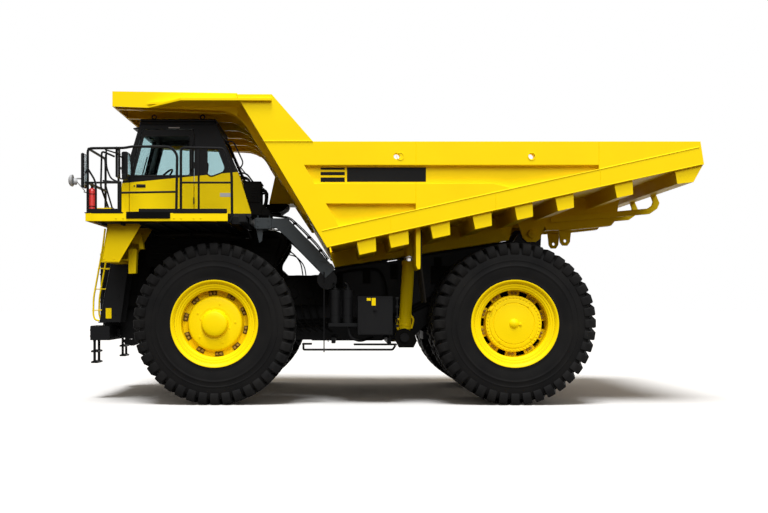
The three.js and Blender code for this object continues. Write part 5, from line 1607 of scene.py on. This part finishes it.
def foot_bracket():
    """Outer cheek plate over the hoist's foot pin, with its bolts."""
    plate = Form()
    foot, _ = hoist_line()
    y = foot.y + 0.115
    plate.side([(3.02, 1.06), (3.06, 1.20), (3.20, 1.24), (3.36, 1.18), (3.42, 1.02), (3.36, 0.90),
                (3.10, 0.90)],
               y, y + 0.028, 0.006)
    plate.disc((foot.x, y + 0.028, foot.z), (foot.x, y + 0.050, foot.z), 0.060, 24, 0.006)
    return plate


def frame_pads():
    """Rubber strips on top of the frame rails that the body's stringers come down on."""
    pads = Form()
    for d0, d1 in ((1.97, 2.93), (3.17, 5.12)):
        low, high = (2.275 + (d - 1.9) * 0.1542 for d in (d0, d1))
        pads.side([(d0, low + 0.002), (d1, high + 0.002), (d1, high + 0.040), (d0, low + 0.040)], 0.42,
                  0.63, 0.003)
    return pads


def deck_painted_shade():
    """Painted shade: a matt black sheet with cross ribs under the deck plate, dark for the shade beneath the deck.
    """
    lining = Form()
    z = DECK_LOW.z
    lining.box((behind(0.22), -2.68, z - 0.016), (behind(-1.92), 2.68, z - 0.003), 0.002)
    for k in range(7):
        d = -1.80 + 0.31 * k
        lining.box((behind(d) - 0.02, -2.66, z - 0.050), (behind(d) + 0.02, 2.66, z - 0.016), 0.003)
    return lining


tank_trim().piece("fuel_tank_fittings", "root", BLACK)
tank_labels().piece("blank_yellow_labels", "root", YELLOW)
both_sides(brace_trim, "brace_joint", "root", SLATE)
both_sides(brace_hose, "brace_hose", "root", MATT_BLACK)
service_box().piece("service_box", "root", MATT_BLACK)
both_sides(hoist_trim, "hoist_trim", "hoist_barrel_{side}", YELLOW)
both_sides(rod_shield, "hoist_rod_shield", "hoist_rod_{side}", YELLOW)
both_sides(foot_bracket, "hoist_foot_bracket", "root", MATT_BLACK)
both_sides(frame_pads, "frame_pads", "root", MATT_BLACK)
# matt black sheet under the deck: painted shade
deck_painted_shade().piece("deck_painted_shade", "root", MATT_BLACK)
both_sides(stage_gland, "hoist_gland", "hoist_stage_{side}", STEEL)


# ---------------------------------------------------------------- front end
LADDER_SIDES = (0.950, 1.380)


def ladder_at(z):
    """Distance behind the front axle of the ladder's stiles at a height."""
    return -2.142 + (z - 1.350) * (2.142 - 1.957) / (2.298 - 1.350)


def ladder_rails():
    """A bent hand rail on each side of the ladder, with its brackets."""
    form = Form()
    points = [(-2.055, 2.985), (-2.098, 2.640), (-2.255, 1.776), (-2.262, 1.480), (-2.235, 1.390),
              (-2.160, 1.370)]
    for y in LADDER_SIDES:
        form.tube([(behind(d), y, z) for d, z in points], 0.0165, 12, 0.07)
        for z, d0, d1 in ((2.285, -2.170, -1.965), (1.925, -2.235, -2.035), (1.555, -2.265, -2.100)):
            form.tube([(behind(d0), y, z), (behind(d1), y, z)], 0.0085, 8)
            form.bolt((behind(d0), y, z), (1, 0, 0), 0.013)
    return form


def ladder():
    """Broad dark side plates, a folded foot and grip treads between them."""
    form = Form()
    foot, head = 1.345, 2.990
    for y in LADDER_SIDES:
        form.side([(ladder_at(foot), foot), (ladder_at(foot) + 0.360, foot),
                   (ladder_at(2.40) + 0.300, 2.40),
                   (ladder_at(head) + 0.200, head), (ladder_at(head), head)], y - 0.009, y + 0.009, 0.003)
        form.tube([(behind(ladder_at(foot)), y, foot), (behind(ladder_at(head)), y, head)], 0.014, 8)
        form.side([(ladder_at(foot) - 0.02, foot - 0.012), (ladder_at(foot) + 0.12, foot - 0.012),
                   (ladder_at(foot) + 0.12, foot + 0.006), (ladder_at(foot) - 0.02, foot + 0.006)],
                   y - 0.05, y + 0.05, 0.003)
        for z in (1.48, 1.80, 2.12, 2.44):
            form.bolt((behind(ladder_at(z) + 0.24), y + 0.009, z), (0, 1, 0), 0.014)
    left, right = LADDER_SIDES
    for k in range(6):
        z = 1.600 + 0.230 * k
        d = ladder_at(z)
        form.side([(d + 0.005, z - 0.004), (d + 0.140, z - 0.004), (d + 0.140, z - 0.030),
                   (d + 0.147, z - 0.030),
                   (d + 0.147, z + 0.006), (d + 0.005, z + 0.006)], left, right, 0.002)
        for j in range(5):
            x = behind(d + 0.020 + 0.024 * j)
            form.box((x - 0.004, left + 0.02, z + 0.005), (x + 0.004, right - 0.02, z + 0.012), 0.0)
    return form


def grille():
    """Slatted radiator guard, its frame and the centre post."""
    slats = Form()
    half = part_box("radiator")[1].y - 0.05
    for k in range(20):
        z = 1.42 + 0.056 * k
        slats.side([(-2.262, z), (-2.232, z - 0.020), (-2.226, z - 0.014), (-2.256, z + 0.008)], -half,
                   half, 0.002)
    for y in (-half, -0.28, 0.28, half):
        slats.side([(-2.272, 1.36), (-2.228, 1.36), (-2.228, 2.54), (-2.272, 2.54)], y - 0.022,
                   y + 0.022, 0.004)
    for z in (1.365, 2.53):
        slats.side([(-2.276, z), (-2.228, z), (-2.228, z + 0.045), (-2.276, z + 0.045)], -half - 0.03,
                   half + 0.03, 0.004)
    for y in (-half, half):
        for k in range(5):
            slats.bolt((behind(-2.272), y, 1.45 + 0.25 * k), (1, 0, 0), 0.014)
    return slats


def radiator_sides():
    """Edge angles, straps and hoses on the flank of the radiator."""
    form = Form()
    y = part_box("radiator")[1].y
    form.tube([(behind(-2.215), y + 0.004, 1.36), (behind(-2.215), y + 0.004, 2.55),
               (behind(-2.10), y + 0.004, 2.98)],
              0.012, 8, 0.05)
    form.tube([(behind(-2.005), y + 0.004, 1.36), (behind(-2.005), y + 0.004, 2.60),
               (behind(-1.975), y + 0.004, 2.98)],
              0.012, 8, 0.05)
    for z in (1.70, 2.05, 2.40):
        form.box((behind(-2.02), y, z - 0.010), (behind(-2.20), y + 0.010, z + 0.010), 0.003)
    form.box((behind(-1.905), y - 0.02, 1.088), (behind(-1.960), y + 0.03, 1.214), 0.006)
    return form


LAMP_PANEL = [(-1.757, 3.009), (-1.816, 2.660), (-1.869, 2.360), (-1.581, 2.360), (-1.198, 3.009)]
LAMP_FACE = -1.838


def lamp_panel():
    """Folded panel ahead of the wheel: sloping front, outer cheek, floor and inner cheek."""
    panel = Form()
    low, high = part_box("lamp_panel_left")
    front = [(d, z) for d, z in LAMP_PANEL[:3]]
    back = [(d + 0.014, z) for d, z in reversed(front)]
    panel.side(front + back, low.y, high.y, 0.003)
    for y in (low.y, high.y - 0.012):
        panel.side(LAMP_PANEL, y, y + 0.012, 0.003)
    panel.side([(-1.866, 2.360), (-1.581, 2.360), (-1.572, 2.374), (-1.862, 2.374)], low.y, high.y, 0.003)
    panel.side([(-1.757, 3.009), (-1.198, 3.009), (-1.206, 2.995), (-1.760, 2.995)], low.y, high.y, 0.003)
    return panel


def headlamps():
    """Two lamps in each panel: bowl, rim and glass."""
    lamps = Form()
    for y in (1.56, 1.86):
        for profile in ([(0.0, -0.10), (0.060, -0.10), (0.098, -0.03), (0.104, 0.0), (0.104, 0.012),
                         (0.092, 0.014),
                         (0.088, -0.02), (0.050, -0.085), (0.0, -0.085)],):
            lamps.lathe(profile, (behind(LAMP_FACE), y, 2.60), 32, across="x")
    return lamps


def headlamp_glass():
    glass = Form()
    for y in (1.56, 1.86):
        glass.lathe([(0.0, 0.020), (0.050, 0.016), (0.090, 0.004), (0.090, -0.004), (0.0, -0.004)],
                    (behind(LAMP_FACE - 0.003), y, 2.60), 32, across="x")
    return glass


def lamp_panel_trim():
    """Folded edges and bolts on the lamp panel."""
    trim = Form()
    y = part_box("lamp_panel_left")[1].y
    for d, z in ((-1.70, 2.96), (-1.50, 2.96), (-1.30, 2.96), (-1.83, 2.41), (-1.66, 2.41)):
        trim.bolt((behind(d), y, z), (0, 1, 0), 0.013)
    trim.tube([(behind(d), y + 0.001, z) for d, z in LAMP_PANEL], 0.0065, 8, 0.01)
    for k in range(4):
        trim.bolt((behind(-1.782), 1.50 + 0.27 * k, 2.88), (1, 0, 0), 0.012)
    return trim


def indicators():
    lens = Form()
    for z in (2.76, 2.50):
        face = behind(-1.822 - (2.62 - z) * 0.17)
        lens.box((face - 0.02, 2.20, z - 0.04), (face + 0.014, 2.33, z + 0.04), 0.012)
    return lens


def guard_plates():
    """The two plates behind the lamp panel that carry the wheel liner's front edge."""
    plates = Form()
    plates.side([(-1.518, 2.602), (-1.400, 2.602), (-1.375, 2.590), (-1.392, 2.185), (-1.520, 2.176)],
                1.86, 2.00, 0.008)
    plates.side([(-1.400, 2.850), (-1.300, 2.850), (-1.259, 2.600), (-1.330, 2.590), (-1.352, 2.690),
                 (-1.450, 2.690),
                 (-1.470, 2.740)], 1.84, 1.98, 0.008)
    plates.side([(-1.75, 2.400), (-1.50, 2.400), (-1.50, 2.430), (-1.75, 2.430)], 1.90, 1.96, 0.004)
    for z in (2.24, 2.38, 2.54):
        plates.bolt((behind(-1.455), 2.00, z), (0, 1, 0), 0.013)
    return plates


def bumper_trim():
    """Bolted pads, step treads with grip and hook plates on the bumper."""
    trim = Form()
    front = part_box("front_bumper")[1].x
    for y in (-1.2, -0.4, 0.4, 1.2):
        trim.box((front - 0.004, y - 0.16, 1.07), (front + 0.010, y + 0.16, 1.235), 0.006)
        for dy in (-0.12, 0.12):
            for z in (1.10, 1.205):
                trim.bolt((front + 0.010, y + dy, z), (1, 0, 0), 0.016)
    for side in (-1, 1):
        for k in range(7):
            x = behind(-2.29) - 0.045 * k
            trim.box((x - 0.009, side * 0.93, 1.275), (x + 0.009, side * 1.42, 1.284), 0.001)
        for y in (1.000, 1.330):
            trim.box((behind(-2.27), side * y - 0.035, 1.00), (behind(-2.23), side * y + 0.035, 1.032),
                     0.004)
            trim.bolt((behind(-2.25) + 0.02, side * y, 1.10), (1, 0, 0), 0.015)
        for z in (0.640, 0.830):
            for k in range(3):
                x = behind(-2.25) + 0.035 * (k - 1)
                trim.box((x - 0.006, side * 0.99, z + 0.015), (x + 0.006, side * 1.34, z + 0.023), 0.0)
    trim.side([(-1.86, 0.93), (-1.70, 0.90), (-1.60, 0.94), (-1.60, 1.02), (-1.90, 1.02)], 0.642, 0.654,
              0.003)
    return trim


both_sides(ladder, "boarding_ladder", "root", BLACK, ["ladder_{side}"], slot="black_paint")
both_sides(ladder_rails, "ladder_hand_rails", "root", YELLOW)
grille().piece("radiator_guard", "root", BLACK)
both_sides(radiator_sides, "radiator_trim", "root", BLACK)
both_sides(lamp_panel, "lamp_panel_shell", "root", YELLOW, ["lamp_panel_{side}"], slot="yellow_paint")
both_sides(headlamps, "headlamp_bowls", "root", CHROME)
both_sides(headlamp_glass, "headlamp_glass", "root", LAMP_GLASS)
both_sides(lamp_panel_trim, "lamp_panel_trim", "root", YELLOW)
both_sides(indicators, "indicator_lenses", "root", AMBER)
both_sides(guard_plates, "liner_plates", "root", YELLOW)
bumper_trim().piece("bumper_fittings", "root", BLACK)


# ---------------------------------------------------------------- right of the deck, axles and tail
def cleaner_trim():
    """Bands, domed tops, intake mesh and latches of the two air cleaners."""
    trim = Form()
    y = -2.12
    for d in (-0.90, -0.33):
        centre = (behind(d), y, 0.0)
        for z in (3.42, 3.78):
            trim.lathe([(0.234, z - 0.020), (0.243, z - 0.020), (0.243, z + 0.020), (0.234, z + 0.020)],
                       centre, 36, across="z")
        trim.lathe([(0.0, 4.150), (0.10, 4.146), (0.165, 4.128), (0.190, 4.100), (0.190, 4.080),
                    (0.0, 4.080)], centre, 36,
                   across="z")
        for k in range(24):
            a = 2 * math.pi * k / 24
            x, side = math.cos(a) * 0.172, math.sin(a) * 0.172
            trim.box((behind(d) + x - 0.006, y + side - 0.006, 4.015),
                     (behind(d) + x + 0.006, y + side + 0.006, 4.075), 0.0)
        for a in (0.4, 2.5, 4.6):
            x, side = math.cos(a) * 0.246, math.sin(a) * 0.246
            trim.box((behind(d) + x - 0.014, y + side - 0.014, 3.74),
                     (behind(d) + x + 0.014, y + side + 0.014, 3.83), 0.004)
        trim.tube([(behind(d), y + 0.22, 3.30), (behind(d), y + 0.42, 3.30),
                   (behind(d), y + 0.52, 3.16)], 0.075, 16, 0.10)
    return trim


def cabinet_trim():
    """Doors, hinges, latches and vents on the cabinets beside the cab."""
    trim = Form()
    for d0, d1, side, top in ((-1.47, -0.98, -1.250, 3.94), (-0.95, -0.49, -1.250, 3.94),
                              (-0.43, 0.32, -1.250, 3.66)):
        trim.box((behind(d1), side - 0.010, 3.18), (behind(d0), side + 0.002, top), 0.005)
        for z in (3.28, top - 0.10):
            trim.disc((behind(d0) - 0.01, side - 0.014, z - 0.04),
                      (behind(d0) - 0.01, side - 0.014, z + 0.04), 0.010, 12)
        trim.box((behind(d1) + 0.03, side - 0.024, (3.18 + top) / 2 - 0.05),
                 (behind(d1) + 0.055, side - 0.008, (3.18 + top) / 2 + 0.05),
                 0.005)
        for k in range(5):
            z = 3.30 + 0.036 * k
            trim.box((behind(d1) + 0.12, side - 0.016, z), (behind(d0) - 0.10, side - 0.009, z + 0.014),
                     0.002)
    trim.box((behind(-0.50), -1.20, 3.975), (behind(-1.45), -0.47, 3.990), 0.006)
    trim.tube([(behind(-1.38), -1.10, 3.98), (behind(-1.38), -1.10, 4.04), (behind(-1.38), -0.57, 4.04),
               (behind(-1.38), -0.57, 3.98)],
              0.011, 8, 0.03)
    return trim


def strut_trim():
    """Chromed rod, dust ring and clamp bolts of the front suspension strut."""
    trim = Form()
    foot = Vector((FRONT_AXLE.x, 1.440, 1.875))
    way = (Vector((FRONT_AXLE.x, 1.350, 2.620)) - foot).normalized()
    trim.disc(foot + way * 0.02, foot + way * 0.07, 0.145, 32, 0.008)
    trim.disc(foot + way * 0.38, foot + way * 0.42, 0.168, 32, 0.008)
    for k in range(8):
        a = 2 * math.pi * k / 8
        side = Vector((1, 0, 0)) * math.cos(a) + way.cross(Vector((1, 0, 0))) * math.sin(a)
        trim.bolt(foot + way * 0.85 + side * 0.125, way, 0.014)
    return trim


def strut_sleeve():
    sleeve = Form()
    foot = Vector((FRONT_AXLE.x, 1.440, 1.875))
    way = (Vector((FRONT_AXLE.x, 1.350, 2.620)) - foot).normalized()
    return sleeve.disc(foot + way * 0.07, foot + way * 0.38, 0.1275, 36, 0.003)


def axle_trim():
    """Cover bolts, breather, brake pipes and link pins of the rear axle."""
    trim = Form()
    x, z = REAR_AXLE.x, REAR_AXLE.z
    trim.disc((x - 0.535, 0, z), (x - 0.575, 0, z), 0.24, 36, 0.010)
    for k in range(14):
        a = 2 * math.pi * k / 14
        trim.bolt((x - 0.575, math.cos(a) * 0.205, z + math.sin(a) * 0.205), (-1, 0, 0), 0.016)
    trim.disc((x - 0.575, 0, z - 0.10), (x - 0.60, 0, z - 0.10), 0.028, 6, 0.003)
    for side in (-1, 1):
        trim.tube([(x - 0.30, side * 0.50, z + 0.24), (x - 0.30, side * 0.80, z + 0.30),
                   (x - 0.20, side * 0.96, z + 0.34),
                   (x - 0.02, side * 1.00, z + 0.345)], 0.010, 8, 0.05)
        trim.tube([(x + 0.30, side * 0.30, z + 0.36), (x + 0.30, side * 0.72, z + 0.34),
                   (x + 0.10, side * 0.98, z + 0.33)],
                  0.012, 8, 0.06)
        for y in (0.62, 0.98):
            trim.lathe([(0.330, y - 0.02), (0.352, y - 0.02), (0.352, y + 0.02), (0.330, y + 0.02)],
                       (x, 0, z), 40) if side > 0 else trim.lathe(
                           [(0.330, -y - 0.02), (0.352, -y - 0.02), (0.352, -y + 0.02),
                            (0.330, -y + 0.02)], (x, 0, z), 40)
    return trim


def suspension_sleeves():
    """Bright rods of the rear suspension cylinders."""
    sleeve = Form()
    x, z = REAR_AXLE.x - 0.460, REAR_AXLE.z
    return sleeve.disc((x, 0.790, z + 0.12), (x, 0.790, 1.748), 0.0745, 32, 0.002)


def tail_lamps():
    """Bar across the frame's tail with its lamp housings."""
    form = Form()
    x = behind(5.35)
    form.box((x - 0.150, -0.62, 2.300), (x - 0.118, 0.62, 2.360), 0.006)
    for side in (-1, 1):
        form.box((x - 0.200, side * 0.50 - 0.15, 2.270), (x - 0.145, side * 0.50 + 0.15, 2.390), 0.012)
    form.disc((x - 0.118, 0.0, 2.42), (x - 0.20, 0.0, 2.42), 0.07, 24, 0.01)
    return form


def tail_lenses():
    lens = Form()
    x = behind(5.35)
    for side in (-1, 1):
        for k in (-1, 0, 1):
            lens.disc((x - 0.196, side * 0.50 + k * 0.092, 2.330),
                      (x - 0.210, side * 0.50 + k * 0.092, 2.330), 0.038, 24, 0.005)
    return lens


cleaner_trim().piece("air_cleaner_trim", "root", BLACK)
cabinet_trim().piece("cabinet_trim", "root", YELLOW)
both_sides(strut_trim, "strut_trim", "root", MATT_BLACK)
both_sides(strut_sleeve, "strut_rod", "root", CHROME)
axle_trim().piece("rear_axle_trim", "root", MATT_BLACK)
both_sides(suspension_sleeves, "suspension_rod", "root", CHROME)
tail_lamps().piece("tail_lamp_bar", "root", BLACK)
tail_lenses().piece("tail_lamp_lenses", "root", RED)
